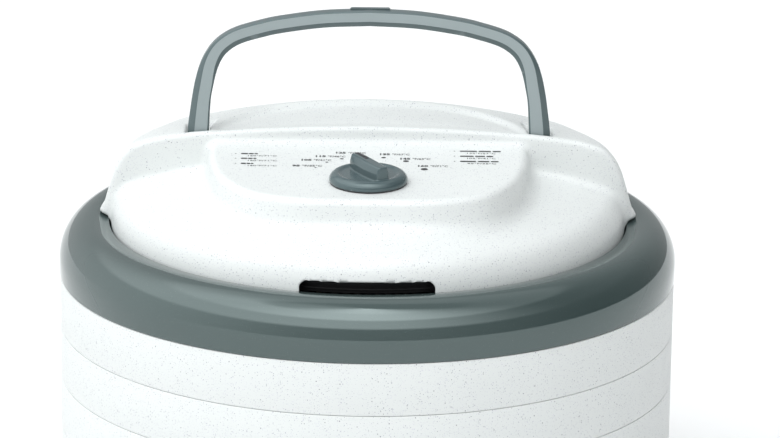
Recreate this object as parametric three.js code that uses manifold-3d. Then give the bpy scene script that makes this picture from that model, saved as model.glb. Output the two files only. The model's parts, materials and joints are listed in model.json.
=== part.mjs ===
// Round food dehydrator: a base pan, a stack of lift-off trays and a power head with a fan, a heater and
// a thermostat. Millimetres, +Z up. The origin is on the surface it stands on, on the stack's axis; the
// control knob faces -Y.
import * as THREE from "three";
import { mergeVertices } from "three/addons/utils/BufferGeometryUtils.js";
import Module from "manifold-3d";

const wasm = await Module();
wasm.setup();

// ---------------------------------------------------------------- driving dimensions
const SEGMENTS = 36; // facets round the large turned pieces
const GAP = 0.3; // between pieces that touch

const TRAY_COUNT = 5;
const TRAY_PITCH = 29.4;
const STACK_R = 174; // outside of trays and base
const STACK_WALL = 2.2;
const BASE_HEIGHT = 12;
const BASE_RIM_WIDTH = 8; // the flat ring that the base stands on
const BASE_FLOOR_UNDERSIDE = 2.5;
const BASE_FLOOR = 4.5;

const LIP_CLEARANCE = 0.6; // radial, between a nesting lip and the wall round it
const LIP_THICKNESS = 2.4;
const LIP_DROP = 4.6;

const DUCT_R = 148; // the food space ends here, and the ring of air outside it begins
const CORE_R = 34; // return hole in the middle of each tray
const TRAY_FLOOR = 2.4;
const TRAY_SECTORS = 6;
const FLOOR_RINGS = [[48, 82], [92, 126]]; // inner and outer radius of each ring of floor openings
const SPOKE_WIDTH = 4;
const RIB_HALF_WIDTH = 1.5;

const RING_Z = BASE_HEIGHT + TRAY_COUNT * TRAY_PITCH; // underside of the power head

const RING_R = 174.4;
const RING_WALL = 2.5;
const RING_STRAIGHT = 9; // height of the upright part of the ring's side
const RING_CREST_R = 155.5;
const RING_CREST_Z = 31.4;
const RING_LIP_R = 146.4;
const RING_LIP_Z = 29.9;
const SHELF_Z = 26; // the upper housing stands on this shelf
const CHANNEL_R = 143.5; // inner wall of the ring's air channel
const PLATE_UNDERSIDE = 2;
const PLATE_TOP = 4.5;
const INTAKE_R = 55;

const SHELL = 2.6; // wall of the upper housing
const DISC_R = 145.3;
const FOOT_X = 152.8;
const FOOT_Z = 31.8;
const BRIDGE_FRONT_Y = -8.5;
const BRIDGE_BACK_Y = 50;
const BRIDGE_FOOT_STEP = 9.7; // how much further back the outer corner of each foot is
const PANEL_Z = 75; // control panel's height at PANEL_Z_AT
const PANEL_Z_AT = -10;
const PANEL_TILT = THREE.MathUtils.degToRad(2);

const SLOT_WIDTH = 73;
const SLOT_TOP = 35.4;

const KNOB_Y = -76.5;
const KNOB_R = 21.6;
const KNOB_SKIRT = 6.7;
const KNOB_HEIGHT = 12.8;
const KNOB_GRIP = 10; // widest, at its middle
const KNOB_GRIP_REACH = 15.3;
const KNOB_POINTER = THREE.MathUtils.degToRad(29); // grip turned this far left of straight back
const SHAFT_TOP = 9.8;

const HANDLE_Y = 1.5;
const PIVOT_Z = 70;
const HANDLE_LEG_X = 96.5;
const HANDLE_LEG = 12;
const HANDLE_BAR = 10;
const HANDLE_DEPTH = 8.8;
const HANDLE_BOSS_R = 5;
const HANDLE_FOLD = THREE.MathUtils.degToRad(55);
const PIN_R = 2.5;
const POCKET_FLOOR_Z = 62;
const GROOVE_LENGTH = 42;
const GROOVE_WIDENING = 5; // by the groove's far end

const HOUSING_SCREW_R = 132;
const DECK_POST_R = 112;
const DECK_R = 120;
const DECK_Z = 33.5;
const DECK_THICKNESS = 1.2;

const FAN_R = 74;
const FAN_BOTTOM = 8;
const FAN_TOP = 28;
const FAN_BLADES = 9;
const SHAFT_R = 3;
const ROTOR_R = 15;
const STATOR_BOTTOM = 46;
const STATOR_TOP = 62;
const MOTOR_BOLT_X = 25;

const HEATER_R = 94;
const HEATER_COIL_R = 4;
const HEATER_Z = 15;
const HEATER_BOARDS = 6;

const GLAND_Z = 37.5;

// ---------------------------------------------------------------- materials
const plastic = (color, roughness) =>
  new THREE.MeshStandardMaterial({ color, roughness, metalness: 0 });
const metal = (color, roughness) =>
  new THREE.MeshStandardMaterial({ color, roughness, metalness: 1 });
const speckledWhite = plastic(0xe8e8e6, 0.4);
const glossGrey = plastic(0x6f7776, 0.18);
const satinGrey = plastic(0x7a8180, 0.4);
const darkPlastic = plastic(0x2c2e30, 0.5);
const mica = plastic(0xb9a98a, 0.6);
const steel = metal(0xb4b7ba, 0.4);
const zincPlate = metal(0xc8ccce, 0.45);
const copper = metal(0xb06a3c, 0.35);
const heaterWire = metal(0x8b8378, 0.5);
const leadCover = plastic(0x9c2f28, 0.5);

// ---------------------------------------------------------------- geometry helpers
// A closed three.js geometry as a manifold-3d solid, turned right side out if its faces point inwards.
function solidOf(geometry) {
  const bare = geometry.clone();
  bare.deleteAttribute("normal");
  bare.deleteAttribute("uv");
  const merged = mergeVertices(bare, 1e-4);
  const index = merged.index.array;
  const build = (flip) => {
    const triVerts = [];
    for (let i = 0; i < index.length; i += 3) {
      const [a, b, c] = [index[i], index[i + 1], index[i + 2]];
      if (a !== b && b !== c && a !== c) triVerts.push(a, flip ? c : b, flip ? b : c);
    }
    return new wasm.Manifold(
      new wasm.Mesh({
        numProp: 3,
        vertProperties: merged.attributes.position.array,
        triVerts: new Uint32Array(triVerts),
      }),
    );
  };
  const solid = build(false);
  return solid.volume() < 0 ? build(true) : solid;
}

function geometryOf(solid) {
  const mesh = solid.getMesh();
  const positions = new Float32Array(mesh.numVert * 3);
  for (let i = 0; i < mesh.numVert; i++) {
    positions.set(mesh.vertProperties.subarray(i * mesh.numProp, i * mesh.numProp + 3), i * 3);
  }
  const geometry = new THREE.BufferGeometry();
  geometry.setAttribute("position", new THREE.BufferAttribute(positions, 3));
  geometry.setIndex(new THREE.BufferAttribute(mesh.triVerts, 1));
  geometry.computeVertexNormals();
  return geometry;
}

const join = (first, ...others) => others.reduce((all, next) => all.add(next), first);
const cut = (first, ...others) => others.reduce((all, next) => all.subtract(next), first);

function box(x0, x1, y0, y1, z0, z1) {
  const geometry = new THREE.BoxGeometry(x1 - x0, y1 - y0, z1 - z0);
  geometry.translate((x0 + x1) / 2, (y0 + y1) / 2, (z0 + z1) / 2);
  return solidOf(geometry);
}

// A round bar between two points; sides is its number of facets.
function bar(r, from, to, sides = 10) {
  const a = new THREE.Vector3(...from);
  const b = new THREE.Vector3(...to);
  const geometry = new THREE.CylinderGeometry(r, r, a.distanceTo(b), sides);
  const turn = new THREE.Quaternion().setFromUnitVectors(
    new THREE.Vector3(0, 1, 0),
    b.clone().sub(a).normalize(),
  );
  geometry.applyQuaternion(turn);
  geometry.translate((a.x + b.x) / 2, (a.y + b.y) / 2, (a.z + b.z) / 2);
  return solidOf(geometry);
}

const post = (r, x, y, z0, z1, sides) => bar(r, [x, y, z0], [x, y, z1], sides);

// Turns a closed profile of [radius, height] points about Z.
function revolve(profile, sides = SEGMENTS) {
  const points = profile.map(([r, z]) => new THREE.Vector2(r, z));
  if (profile[0][0] > 0) points.push(points[0].clone());
  const geometry = new THREE.LatheGeometry(points, sides);
  geometry.rotateX(Math.PI / 2);
  return solidOf(geometry);
}

// Skins a row of loops, each with the same number of [x, y, z] points. An end is closed by strips that
// join the loop's first point to its last, its second to its last but one, and so on.
function loft(loops) {
  const count = loops[0].length;
  const triangles = [];
  for (let k = 0; k + 1 < loops.length; k++) {
    for (let i = 0; i < count; i++) {
      const j = (i + 1) % count;
      const [a, b, c, d] = [k * count + i, k * count + j, (k + 1) * count + i, (k + 1) * count + j];
      triangles.push(a, b, d, a, d, c);
    }
  }
  const last = (loops.length - 1) * count;
  for (let i = 0; i + 1 < count - 1 - i; i++) {
    const [a, b, c, d] = [i, i + 1, count - 2 - i, count - 1 - i];
    triangles.push(b, a, d, last + a, last + b, last + d);
    if (b !== c) triangles.push(b, d, c, last + b, last + c, last + d);
  }
  const geometry = new THREE.BufferGeometry();
  geometry.setAttribute("position", new THREE.Float32BufferAttribute(loops.flat(2), 3));
  geometry.setIndex(triangles);
  return solidOf(geometry);
}

// A flat outline of [x, y] points, with holes, raised from z0 to z1.
function plate(outline, z0, z1, holes = []) {
  const toPath = (points, Kind) => new Kind(points.map(([x, y]) => new THREE.Vector2(x, y)));
  const shape = toPath(outline, THREE.Shape);
  shape.holes = holes.map((hole) => toPath(hole, THREE.Path));
  const geometry = new THREE.ExtrudeGeometry(shape, { depth: z1 - z0, bevelEnabled: false });
  geometry.translate(0, 0, z0);
  return solidOf(geometry);
}

const polar = (r, angle) => [r * Math.cos(angle), r * Math.sin(angle)];

// An outline of a piece of a flat ring, centred on angle 0.
function ringSector(inner, outer, halfAngle, steps = 2) {
  const angles = Array.from({ length: steps + 1 }, (_, i) => halfAngle * ((2 * i) / steps - 1));
  return [
    ...angles.map((a) => polar(outer, a)),
    ...angles.toReversed().map((a) => polar(inner, a)),
  ];
}

const turned = (points, angle) =>
  points.map(([x, y]) => [
    x * Math.cos(angle) - y * Math.sin(angle),
    x * Math.sin(angle) + y * Math.cos(angle),
  ]);

// A flat bar that runs outwards from r0 to r1 at an angle.
const radialPlate = (r0, r1, half, angle, z0, z1) =>
  plate(turned([[r0, -half], [r1, -half], [r1, half], [r0, half]], angle), z0, z1);

const around = (count, offset = 0) =>
  Array.from({ length: count }, (_, i) => offset + (2 * Math.PI * i) / count);

function place(parent, name, solid, material) {
  const mesh = new THREE.Mesh(geometryOf(solid), material);
  mesh.name = name;
  parent.add(mesh);
  return mesh;
}

// ---------------------------------------------------------------- base and trays
const wallInner = STACK_R - STACK_WALL;
const lipOuter = wallInner - LIP_CLEARANCE;
const lipInner = lipOuter - LIP_THICKNESS;

function basePan() {
  return revolve([
    [0, BASE_FLOOR],
    [wallInner, BASE_FLOOR],
    [wallInner, BASE_HEIGHT - GAP],
    [STACK_R, BASE_HEIGHT - GAP],
    [STACK_R, 0],
    [STACK_R - BASE_RIM_WIDTH, 0],
    [STACK_R - BASE_RIM_WIDTH, BASE_FLOOR_UNDERSIDE],
    [0, BASE_FLOOR_UNDERSIDE],
  ]);
}

// The outer wall, with a lip that nests in the piece below.
const trayWall = () =>
  revolve([
    [STACK_R, 0],
    [STACK_R, TRAY_PITCH - GAP],
    [wallInner, TRAY_PITCH - GAP],
    [wallInner, TRAY_FLOOR],
    [lipInner, TRAY_FLOOR],
    [lipInner, -LIP_DROP],
    [lipOuter, -LIP_DROP],
    [lipOuter, 0],
  ]);

// The food floor of openings between spokes, with the return hole in the middle and ribs that carry it
// across the air ring.
function trayFloor() {
  const floor = revolve([
    [DUCT_R, 0],
    [DUCT_R, TRAY_FLOOR],
    [CORE_R, TRAY_FLOOR],
    [CORE_R, 0],
  ]);
  const ribs = around(TRAY_SECTORS, Math.PI / SEGMENTS).map((angle) =>
    radialPlate(DUCT_R - 1, lipInner - 1, RIB_HALF_WIDTH, angle, 0, TRAY_FLOOR),
  );
  const openings = around(TRAY_SECTORS, Math.PI / TRAY_SECTORS).flatMap((angle) =>
    FLOOR_RINGS.map(([inner, outer]) => {
      const half = Math.PI / TRAY_SECTORS - SPOKE_WIDTH / (inner + outer);
      return plate(turned(ringSector(inner, outer, half), angle), -1, TRAY_FLOOR + 1);
    }),
  );
  return cut(join(floor, ...ribs), ...openings);
}

// ---------------------------------------------------------------- lower housing of the power head
const screwAngles = around(4, Math.PI / 4);
const postAngles = around(4, Math.PI / 8);
const bossR = 5; // of the posts and bosses that the housing screws run through
const screwHoleR = 2.2;
const pilotR = 1.9;
const grilleHoleR = 1.6;
const grilleScrewR = 59;
const grilleScrewAngles = around(3, Math.PI / 6);

// Points of a quarter ellipse from its side to its crest.
const quarter = (side, crest, low, high, steps) =>
  Array.from({ length: steps + 1 }, (_, i) => {
    const a = (Math.PI / 2) * (i / steps);
    return [crest + (side - crest) * Math.cos(a), low + (high - low) * Math.sin(a)];
  });

function lowerHousing() {
  const outside = quarter(RING_R, RING_CREST_R, RING_STRAIGHT, RING_CREST_Z, 5);
  const inside = quarter(RING_R - RING_WALL, RING_CREST_R, RING_STRAIGHT, RING_CREST_Z - RING_WALL, 3);
  const body = revolve([
    [RING_R - 0.1, 0],
    ...outside,
    [RING_LIP_R, RING_LIP_Z],
    [RING_LIP_R, SHELF_Z],
    [CHANNEL_R - RING_WALL, SHELF_Z],
    [CHANNEL_R - RING_WALL, PLATE_TOP],
    [INTAKE_R, PLATE_TOP],
    [INTAKE_R, PLATE_UNDERSIDE],
    [CHANNEL_R, PLATE_UNDERSIDE],
    [CHANNEL_R, SHELF_Z - RING_WALL],
    [RING_LIP_R + RING_WALL, SHELF_Z - RING_WALL],
    [RING_LIP_R + RING_WALL, RING_LIP_Z - RING_WALL],
    ...inside.toReversed(),
    [RING_R - RING_WALL, RING_WALL],
    [lipInner, RING_WALL],
    [lipInner, -LIP_DROP],
    [lipOuter, -LIP_DROP],
    [lipOuter, 0],
  ]);
  const outlets = around(8, Math.PI / 8).map((angle) =>
    plate(turned(ringSector(CHANNEL_R - 6, CHANNEL_R + 3, 0.22, 1), angle), 8, 20),
  );
  const housingPosts = screwAngles.map((a) => {
    const [x, y] = polar(HOUSING_SCREW_R, a);
    return post(bossR, x, y, PLATE_UNDERSIDE, 28.7);
  });
  const deckPosts = postAngles.map((a) => {
    const [x, y] = polar(DECK_POST_R, a);
    return post(4.5, x, y, PLATE_UNDERSIDE + 1, DECK_Z - GAP);
  });
  const holes = [
    ...screwAngles.flatMap((a) => {
      const [x, y] = polar(HOUSING_SCREW_R, a);
      return [post(screwHoleR, x, y, 0, 30), post(4.3, x, y, 0, 5)];
    }),
    ...postAngles.map((a) => {
      const [x, y] = polar(DECK_POST_R, a);
      return post(pilotR, x, y, 22, 40);
    }),
    ...grilleScrewAngles.map((a) => {
      const [x, y] = polar(grilleScrewR, a);
      return post(grilleHoleR, x, y, 0, 10);
    }),
  ];
  return cut(join(body, ...housingPosts, ...deckPosts), ...outlets, ...holes);
}

function intakeGrille() {
  const holes = around(TRAY_SECTORS).flatMap((angle) =>
    [[12, 30], [34, 52]].map(([inner, outer]) => {
      const half = Math.PI / TRAY_SECTORS - 3 / inner;
      return turned(ringSector(inner, outer, half, 1), angle);
    }),
  );
  const screwHoles = grilleScrewAngles.map((a) => {
    const [x, y] = polar(grilleScrewR, a);
    return post(grilleHoleR, x, y, -5, 5);
  });
  const disc = plate(around(24).map((a) => polar(63, a)), GAP, PLATE_UNDERSIDE - GAP, holes);
  return cut(disc, ...screwHoles);
}

// A pan-head screw: head below z, shank up to the tip; up is 1, or -1 for a screw driven downwards.
function screw(x, y, z, headR, headHeight, shankR, length, up = 1) {
  return join(
    post(headR, x, y, z, z - up * headHeight, 8),
    post(shankR, x, y, z - up * 0.5, z + up * length, 6),
  );
}

// ---------------------------------------------------------------- upper housing
const discProfile = [
  [90, 60.2], [110, 56.4], [132, 49.9], [138.6, 47], [142.6, 42],
];
const DISC_TOP = 62;

// The arch of the bridge at its front edge, from the middle to a foot.
const archHalf = [
  [0, 85.5], [30, 85], [55, 84], [78, 82.4], [98, 80.6], [116, 77.8], [126, 76], [133, 73.2],
  [138.6, 67.6], [142.5, 60.4], [145.2, 53], [149.5, 37],
];

function disc(inset) {
  const bottom = SHELF_Z + GAP - (inset ? 5 : 0);
  return revolve([
    [0, DISC_TOP - inset],
    ...discProfile.map(([r, z]) => [r - inset, z - inset]),
    [DISC_R - inset, bottom],
    [0, bottom],
  ]);
}

// The bridge's outline at one station. back runs from 0 at the front edge to 1 at the back edge.
function archLoop(back, inset, drop, lower) {
  const span = BRIDGE_BACK_Y - BRIDGE_FRONT_Y - 2 * inset;
  const narrowing = 1 - 0.13 * back * back;
  const floor = FOOT_Z + inset;
  const half = [...archHalf, [FOOT_X, FOOT_Z]].map(([x, z]) => [
    Math.max(0, x * narrowing - (x > 0 ? inset : 0)),
    x < FOOT_X ? Math.max(floor + 0.5, FOOT_Z + (z - FOOT_Z) * lower - inset - drop) : floor,
  ]);
  const top = [...half.slice(1).toReversed().map(([x, z]) => [-x, z]), ...half];
  const bottom = top.slice(1, -1).toReversed().map(([x]) => [x, floor]);
  return [...top, ...bottom].map(([x, z]) => {
    const front = BRIDGE_FRONT_Y + BRIDGE_FOOT_STEP * (x / FOOT_X) ** 24;
    return [x, (front + inset) * (1 - back) + (BRIDGE_FRONT_Y + inset + span) * back, z];
  });
}

function bridge(inset) {
  return loft([
    archLoop(0, inset, 2.2, 1),
    archLoop(0.04, inset, 0, 1),
    archLoop(0.7, inset, 0.4, 1),
    archLoop(0.93, inset, 1.2, 1),
    archLoop(1, inset, 3.5, 1),
    archLoop(1.22, inset, 0, 0.5),
  ]);
}

const panelHeight = (y) => PANEL_Z + Math.tan(PANEL_TILT) * (y - PANEL_Z_AT);

const panelSide = [[88.6, -20], [87, -42], [80, -72], [64, -97], [36, -108], [0, -109.5]];

// The D-shaped control platform in front of the bridge, drawn in by inset on every side.
function panel(inset) {
  const side = new THREE.SplineCurve(panelSide.map(([x, y]) => new THREE.Vector2(x, y))).getPoints(6);
  const half = [[88.6, -2], ...side.map((p) => [p.x, p.y])];
  const outline = [...half, ...half.slice(0, -1).toReversed().map(([x, y]) => [-x, y])];
  const grow = (amount) =>
    outline.map(([x, y]) => {
      const away = new THREE.Vector2(x, y + 30).setLength(amount);
      return [x + away.x, y + (y < -15 ? away.y : 0)];
    });
  const level = (amount, z) => grow(amount - inset).map(([x, y]) => [x, y, z ?? 0]);
  const top = (amount, below) =>
    grow(amount - inset).map(([x, y]) => [x, y, panelHeight(y) - below - inset]);
  return loft([level(5, 50), level(4.5, 58 - inset), level(2, 61 - inset), top(1, 2), top(-1, 0)]);
}

// A round bar on the handle's folding axis, half as long as reach says on each side of a leg's middle.
const pivotBar = (r, sign, reach, sides) =>
  bar(
    r,
    [sign * (HANDLE_LEG_X - reach), HANDLE_Y, PIVOT_Z],
    [sign * (HANDLE_LEG_X + reach), HANDLE_Y, PIVOT_Z],
    sides,
  );

// The pocket that a handle leg stands in and the groove behind it that the leg folds back into, on the
// side that sign names, with every wall moved out by grow. The groove widens inwards as the bow does.
function legPocket(sign, grow) {
  const clear = HANDLE_DEPTH / 2 + 0.9 + grow;
  const [s, c] = [Math.sin(HANDLE_FOLD), Math.cos(HANDLE_FOLD)];
  const floor = POCKET_FLOOR_Z - grow;
  const top = 100;
  const corner = [HANDLE_Y + clear * c, PIVOT_Z - clear * s];
  const end = [corner[0] + GROOVE_LENGTH * s, corner[1] + GROOVE_LENGTH * c];
  const outer = HANDLE_LEG_X + HANDLE_LEG / 2 + 0.8 + grow;
  const inner = HANDLE_LEG_X - HANDLE_LEG / 2 - 0.8 - grow;
  const solid = (inside, y, z) => [sign * inside, y, z];
  const pocket = [inner, outer].flatMap((x) => [
    solid(x, HANDLE_Y - clear, floor), solid(x, HANDLE_Y - clear, top),
    solid(x, corner[0], floor), solid(x, corner[0], top),
  ]);
  const groove = [inner, outer].flatMap((x) => [
    solid(x, corner[0], corner[1]), solid(x, corner[0], top),
    solid(x === inner ? inner - GROOVE_WIDENING : x, end[0], end[1]),
    solid(x === inner ? inner - GROOVE_WIDENING : x, end[0], top),
  ]);
  return join(wasm.Manifold.hull(pocket), wasm.Manifold.hull(groove));
}

function upperHousing() {
  const outside = cut(join(disc(0), bridge(0), panel(0)), legPocket(-1, 0), legPocket(1, 0));
  const inside = cut(
    join(disc(SHELL), bridge(SHELL), panel(SHELL)),
    legPocket(-1, SHELL),
    legPocket(1, SHELL),
  );
  const bosses = screwAngles.map((a) => {
    const [x, y] = polar(HOUSING_SCREW_R, a);
    return post(bossR, x, y, 29, 48);
  });
  const pilots = screwAngles.map((a) => {
    const [x, y] = polar(HOUSING_SCREW_R, a);
    return post(pilotR, x, y, 20, 43);
  });
  const pinHoles = [-1, 1].map((sign) => pivotBar(PIN_R + GAP, sign, 16));
  const slot = box(-SLOT_WIDTH / 2, SLOT_WIDTH / 2, -160, -125, SHELF_Z - 4, SLOT_TOP);
  const shaftHole = bar(5.2, [0, KNOB_Y, 60], [0, KNOB_Y - 20 * Math.tan(PANEL_TILT), 80], 16);
  const glandHole = bar(4.8, [0, 125, GLAND_Z], [0, 160, GLAND_Z]);
  const shell = join(cut(outside, inside), ...bosses);
  return cut(shell, ...pinHoles, ...pilots, slot, shaftHole, glandHole);
}

// ---------------------------------------------------------------- handle
// The middle line of the bow's right half, from the pivot to the top.
const bowHalf = [
  [HANDLE_LEG_X, PIVOT_Z], [95.6, 90], [91.4, 114], [84.6, 127.8], [72.5, 136], [50, 141.6], [0, 146.4],
];

function handle() {
  const right = new THREE.CatmullRomCurve3(bowHalf.map(([x, z]) => new THREE.Vector3(x, 0, z)));
  const half = Array.from({ length: 12 }, (_, i) => right.getPoint(i / 12));
  const mirrored = half.toReversed().map((p) => new THREE.Vector3(-p.x, 0, p.z));
  const middle = [...half, right.getPoint(1), ...mirrored];
  const chamfer = 1.6;
  const loops = middle.map((p, i) => {
    const before = middle[Math.max(i - 1, 0)];
    const after = middle[Math.min(i + 1, middle.length - 1)];
    const along = after.clone().sub(before).normalize();
    const share = Math.abs(i / (middle.length - 1) - 0.5) * 2;
    const w = THREE.MathUtils.lerp(HANDLE_BAR, HANDLE_LEG, THREE.MathUtils.smoothstep(share, 0.3, 0.6)) / 2;
    const d = HANDLE_DEPTH / 2;
    // The section's width lies across the bar, in the plane of the bow.
    const section = [
      [w, d - chamfer], [w - chamfer, d], [chamfer - w, d], [-w, d - chamfer],
      [-w, chamfer - d], [chamfer - w, -d], [w - chamfer, -d], [w, chamfer - d],
    ];
    return section.map(([a, b]) => [p.x + along.z * a, HANDLE_Y + b, p.z - along.x * a]);
  });
  const bosses = [-1, 1].map((sign) => pivotBar(HANDLE_BOSS_R, sign, HANDLE_LEG / 2, 16));
  const holes = [-1, 1].map((sign) => pivotBar(PIN_R + GAP, sign, 10));
  return cut(join(loft(loops), ...bosses), ...holes);
}

const handlePin = (sign) => pivotBar(PIN_R, sign, 11.5);

// ------------------------------------------------- knob and thermostat, with z = 0 on the panel
function knob() {
  const skirt = revolve(
    [
      [0, 0.8], [KNOB_R - 1.2, 0.8], [KNOB_R, 1.8], [KNOB_R, KNOB_SKIRT - 2.2],
      [KNOB_R - 0.8, KNOB_SKIRT - 0.6], [KNOB_R - 2.6, KNOB_SKIRT], [0, KNOB_SKIRT],
    ],
    32,
  );
  const reach = KNOB_GRIP_REACH;
  const side = KNOB_GRIP / 2;
  const level = (middle, end, z) =>
    [
      [middle, -5], [middle, 5], [end, reach], [-end, reach],
      [-middle, 5], [-middle, -5], [-end, -reach], [end, -reach],
    ].map(([x, y]) => [...turned([[x, y]], KNOB_POINTER)[0], z]);
  const grip = loft([
    level(side, 3, 3),
    level(side - 0.6, 2.8, KNOB_SKIRT + 2.6),
    level(side - 1.8, 2.4, KNOB_HEIGHT - 0.8),
    level(side - 2.6, 1.6, KNOB_HEIGHT),
  ]);
  const underside = post(11, 0, 0, 0, 4.2, 20);
  const socket = post(SHAFT_R + GAP, 0, 0, 0, SHAFT_TOP + GAP, 12);
  return cut(join(skirt, grip), underside, socket);
}

const thermostatShaft = () => post(SHAFT_R, 0, 0, -11, SHAFT_TOP, 12);

function thermostatBody() {
  const body = box(-15, 15, -12, 12, -19, -4.8);
  const flange = box(-10, 10, -9, 9, -5, -SHELL - GAP);
  const bushing = post(4.7, 0, 0, -6, 3.4, 14);
  return cut(join(body, flange, bushing), post(SHAFT_R + GAP, 0, 0, -12, 10, 12));
}

const thermostatNut = () => cut(post(8, 0, 0, GAP, 2.6, 6), post(5, 0, 0, -1, 5, 14));

// ---------------------------------------------------------------- fan and motor
function impeller() {
  const sheet = 1.6; // thickness of the wheel's disc and of the shroud
  const hubR = 9;
  const wheel = revolve(
    [
      [0, FAN_TOP + 4], [hubR, FAN_TOP + 4], [hubR, FAN_TOP + sheet], [FAN_R, FAN_TOP + sheet],
      [FAN_R, FAN_TOP], [hubR, FAN_TOP], [hubR - 1, 22], [0, 22],
    ],
    24,
  );
  const shroud = revolve(
    [
      [FAN_R - 8, FAN_BOTTOM + sheet], [FAN_R, FAN_BOTTOM + sheet],
      [FAN_R, FAN_BOTTOM], [FAN_R - 8, FAN_BOTTOM],
    ],
    24,
  );
  const lean = THREE.MathUtils.degToRad(35);
  const bladeMiddleR = 54;
  const blades = around(FAN_BLADES).map((angle) => {
    const leaning = turned([[-19, -0.9], [17, -0.9], [17, 0.9], [-19, 0.9]], lean);
    const flat = leaning.map(([x, y]) => [x + bladeMiddleR, y]);
    return plate(turned(flat, angle), FAN_BOTTOM + 0.5, FAN_TOP + 1);
  });
  return cut(join(wheel, shroud, ...blades), post(SHAFT_R + GAP, 0, 0, 0, 50, 12));
}

const impellerNut = () => cut(post(6, 0, 0, 17.4, 21.7, 6), post(SHAFT_R + GAP, 0, 0, 0, 50, 12));
const motorShaft = () => post(SHAFT_R, 0, 0, 15, 70, 12);
const rotorCore = () =>
  cut(post(ROTOR_R, 0, 0, STATOR_BOTTOM, STATOR_TOP, 24), post(SHAFT_R + GAP, 0, 0, 0, 90, 12));

const boltHoles = (r) => [-1, 1].map((sign) => post(r, sign * MOTOR_BOLT_X, 0, 0, 90, 8));

function statorCore() {
  return cut(
    box(-30, 30, -48, 20, STATOR_BOTTOM, STATOR_TOP),
    post(ROTOR_R + 0.8, 0, 0, 0, 90, 24),
    box(-18, 18, -34, -19, 0, 90),
    ...boltHoles(2.1),
  );
}

const motorCoil = () =>
  cut(
    box(-17.5, 17.5, -58, -24, STATOR_BOTTOM - 4.5, STATOR_TOP + 4.5),
    box(-30, 30, -48.4, -33.6, STATOR_BOTTOM - 0.4, STATOR_TOP + 0.4),
  );

// A strap across the motor with a bearing boss in the middle and a spacer round each bolt.
function bearingBracket(strapBottom, spacerBottom, spacerTop) {
  const strap = box(-31, 31, -8, 8, strapBottom, strapBottom + 1.6);
  const boss = post(7, 0, 0, strapBottom - 1.5, strapBottom + 3, 12);
  const spacers = [-1, 1].map((sign) => post(4, sign * MOTOR_BOLT_X, 0, spacerBottom, spacerTop, 8));
  return cut(join(strap, boss, ...spacers), ...boltHoles(2.1), post(SHAFT_R + GAP, 0, 0, 0, 90, 12));
}

function motorDeck() {
  const holes = [
    post(14, 0, 0, 30, 40, 20),
    ...boltHoles(2.1),
    ...postAngles.map((a) => post(2.1, ...polar(DECK_POST_R, a), 30, 40, 8)),
  ];
  return cut(post(DECK_R, 0, 0, DECK_Z, DECK_Z + DECK_THICKNESS, 30), ...holes);
}

// ---------------------------------------------------------------- heater, fuse, terminals, gland, leads
function heaterCoil() {
  const geometry = new THREE.TorusGeometry(HEATER_R, HEATER_COIL_R, 6, 30);
  geometry.translate(0, 0, HEATER_Z);
  return solidOf(geometry);
}

function heaterBoard(angle) {
  const [x0, y0] = turned([[HEATER_R, -5]], angle)[0];
  const [x1, y1] = turned([[HEATER_R, 5]], angle)[0];
  return cut(
    radialPlate(HEATER_R - 10, HEATER_R + 10, 0.8, angle, PLATE_TOP + GAP, 26),
    bar(HEATER_COIL_R + 0.9, [x0, y0, HEATER_Z], [x1, y1, HEATER_Z], 12),
  );
}

const deckTop = DECK_Z + DECK_THICKNESS + GAP;

const thermalFuse = () =>
  join(bar(3, [55, 30, 39.5], [79, 30, 39.5], 12), box(64, 70, 27.5, 32.5, deckTop, 39));

function terminalBlock() {
  const body = box(-20, 20, 78, 92, deckTop, 47);
  const wells = [-13, 0, 13].map((x) => post(2.6, x, 85, 41, 50, 10));
  return cut(body, ...wells);
}

function cordGland() {
  const sleeve = bar(4.4, [0, 131, GLAND_Z], [0, 148, GLAND_Z]);
  const flange = bar(6.5, [0, 146, GLAND_Z], [0, 148.6, GLAND_Z], 20);
  return cut(join(sleeve, flange), bar(3.3, [0, 125, GLAND_Z], [0, 155, GLAND_Z]));
}

const glandNut = () =>
  cut(bar(6, [0, 132.5, GLAND_Z], [0, 135.5, GLAND_Z], 6), bar(4.7, [0, 125, GLAND_Z], [0, 155, GLAND_Z]));

// An insulated lead through a few points.
function lead(points) {
  const path = new THREE.CatmullRomCurve3(points.map((p) => new THREE.Vector3(...p)));
  const section = new THREE.Shape(around(6).map((a) => new THREE.Vector2(...polar(1.3, a))));
  return solidOf(new THREE.ExtrudeGeometry(section, { steps: 12, bevelEnabled: false, extrudePath: path }));
}

// ---------------------------------------------------------------- assembly
const dehydrator = new THREE.Group();
place(dehydrator, "base_pan", basePan(), speckledWhite);

// The trays are counted from the top.
const [wallShape, floorShape] = [trayWall(), trayFloor()];
for (let i = 1; i <= TRAY_COUNT; i++) {
  const tray = new THREE.Group();
  tray.position.z = RING_Z - i * TRAY_PITCH;
  dehydrator.add(tray);
  place(tray, `tray_${i}_wall`, wallShape, speckledWhite);
  place(tray, `tray_${i}_floor`, floorShape, speckledWhite);
}

const powerHead = new THREE.Group();
powerHead.position.z = RING_Z;
dehydrator.add(powerHead);
place(powerHead, "lower_housing", lowerHousing(), glossGrey);
place(powerHead, "upper_housing", upperHousing(), speckledWhite);
place(powerHead, "intake_grille", intakeGrille(), darkPlastic);
grilleScrewAngles.forEach((a, i) => {
  const [x, y] = polar(grilleScrewR, a);
  place(powerHead, `grille_screw_${i + 1}`, screw(x, y, 0, 3, 1.4, 1.2, 4.2), steel);
});
screwAngles.forEach((a, i) => {
  const [x, y] = polar(HOUSING_SCREW_R, a);
  place(powerHead, `housing_screw_${i + 1}`, screw(x, y, 4.7, 3.9, 2.2, 1.6, 37), steel);
});

place(powerHead, "handle", handle(), satinGrey);
place(powerHead, "handle_pin_left", handlePin(-1), steel);
place(powerHead, "handle_pin_right", handlePin(1), steel);

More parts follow.
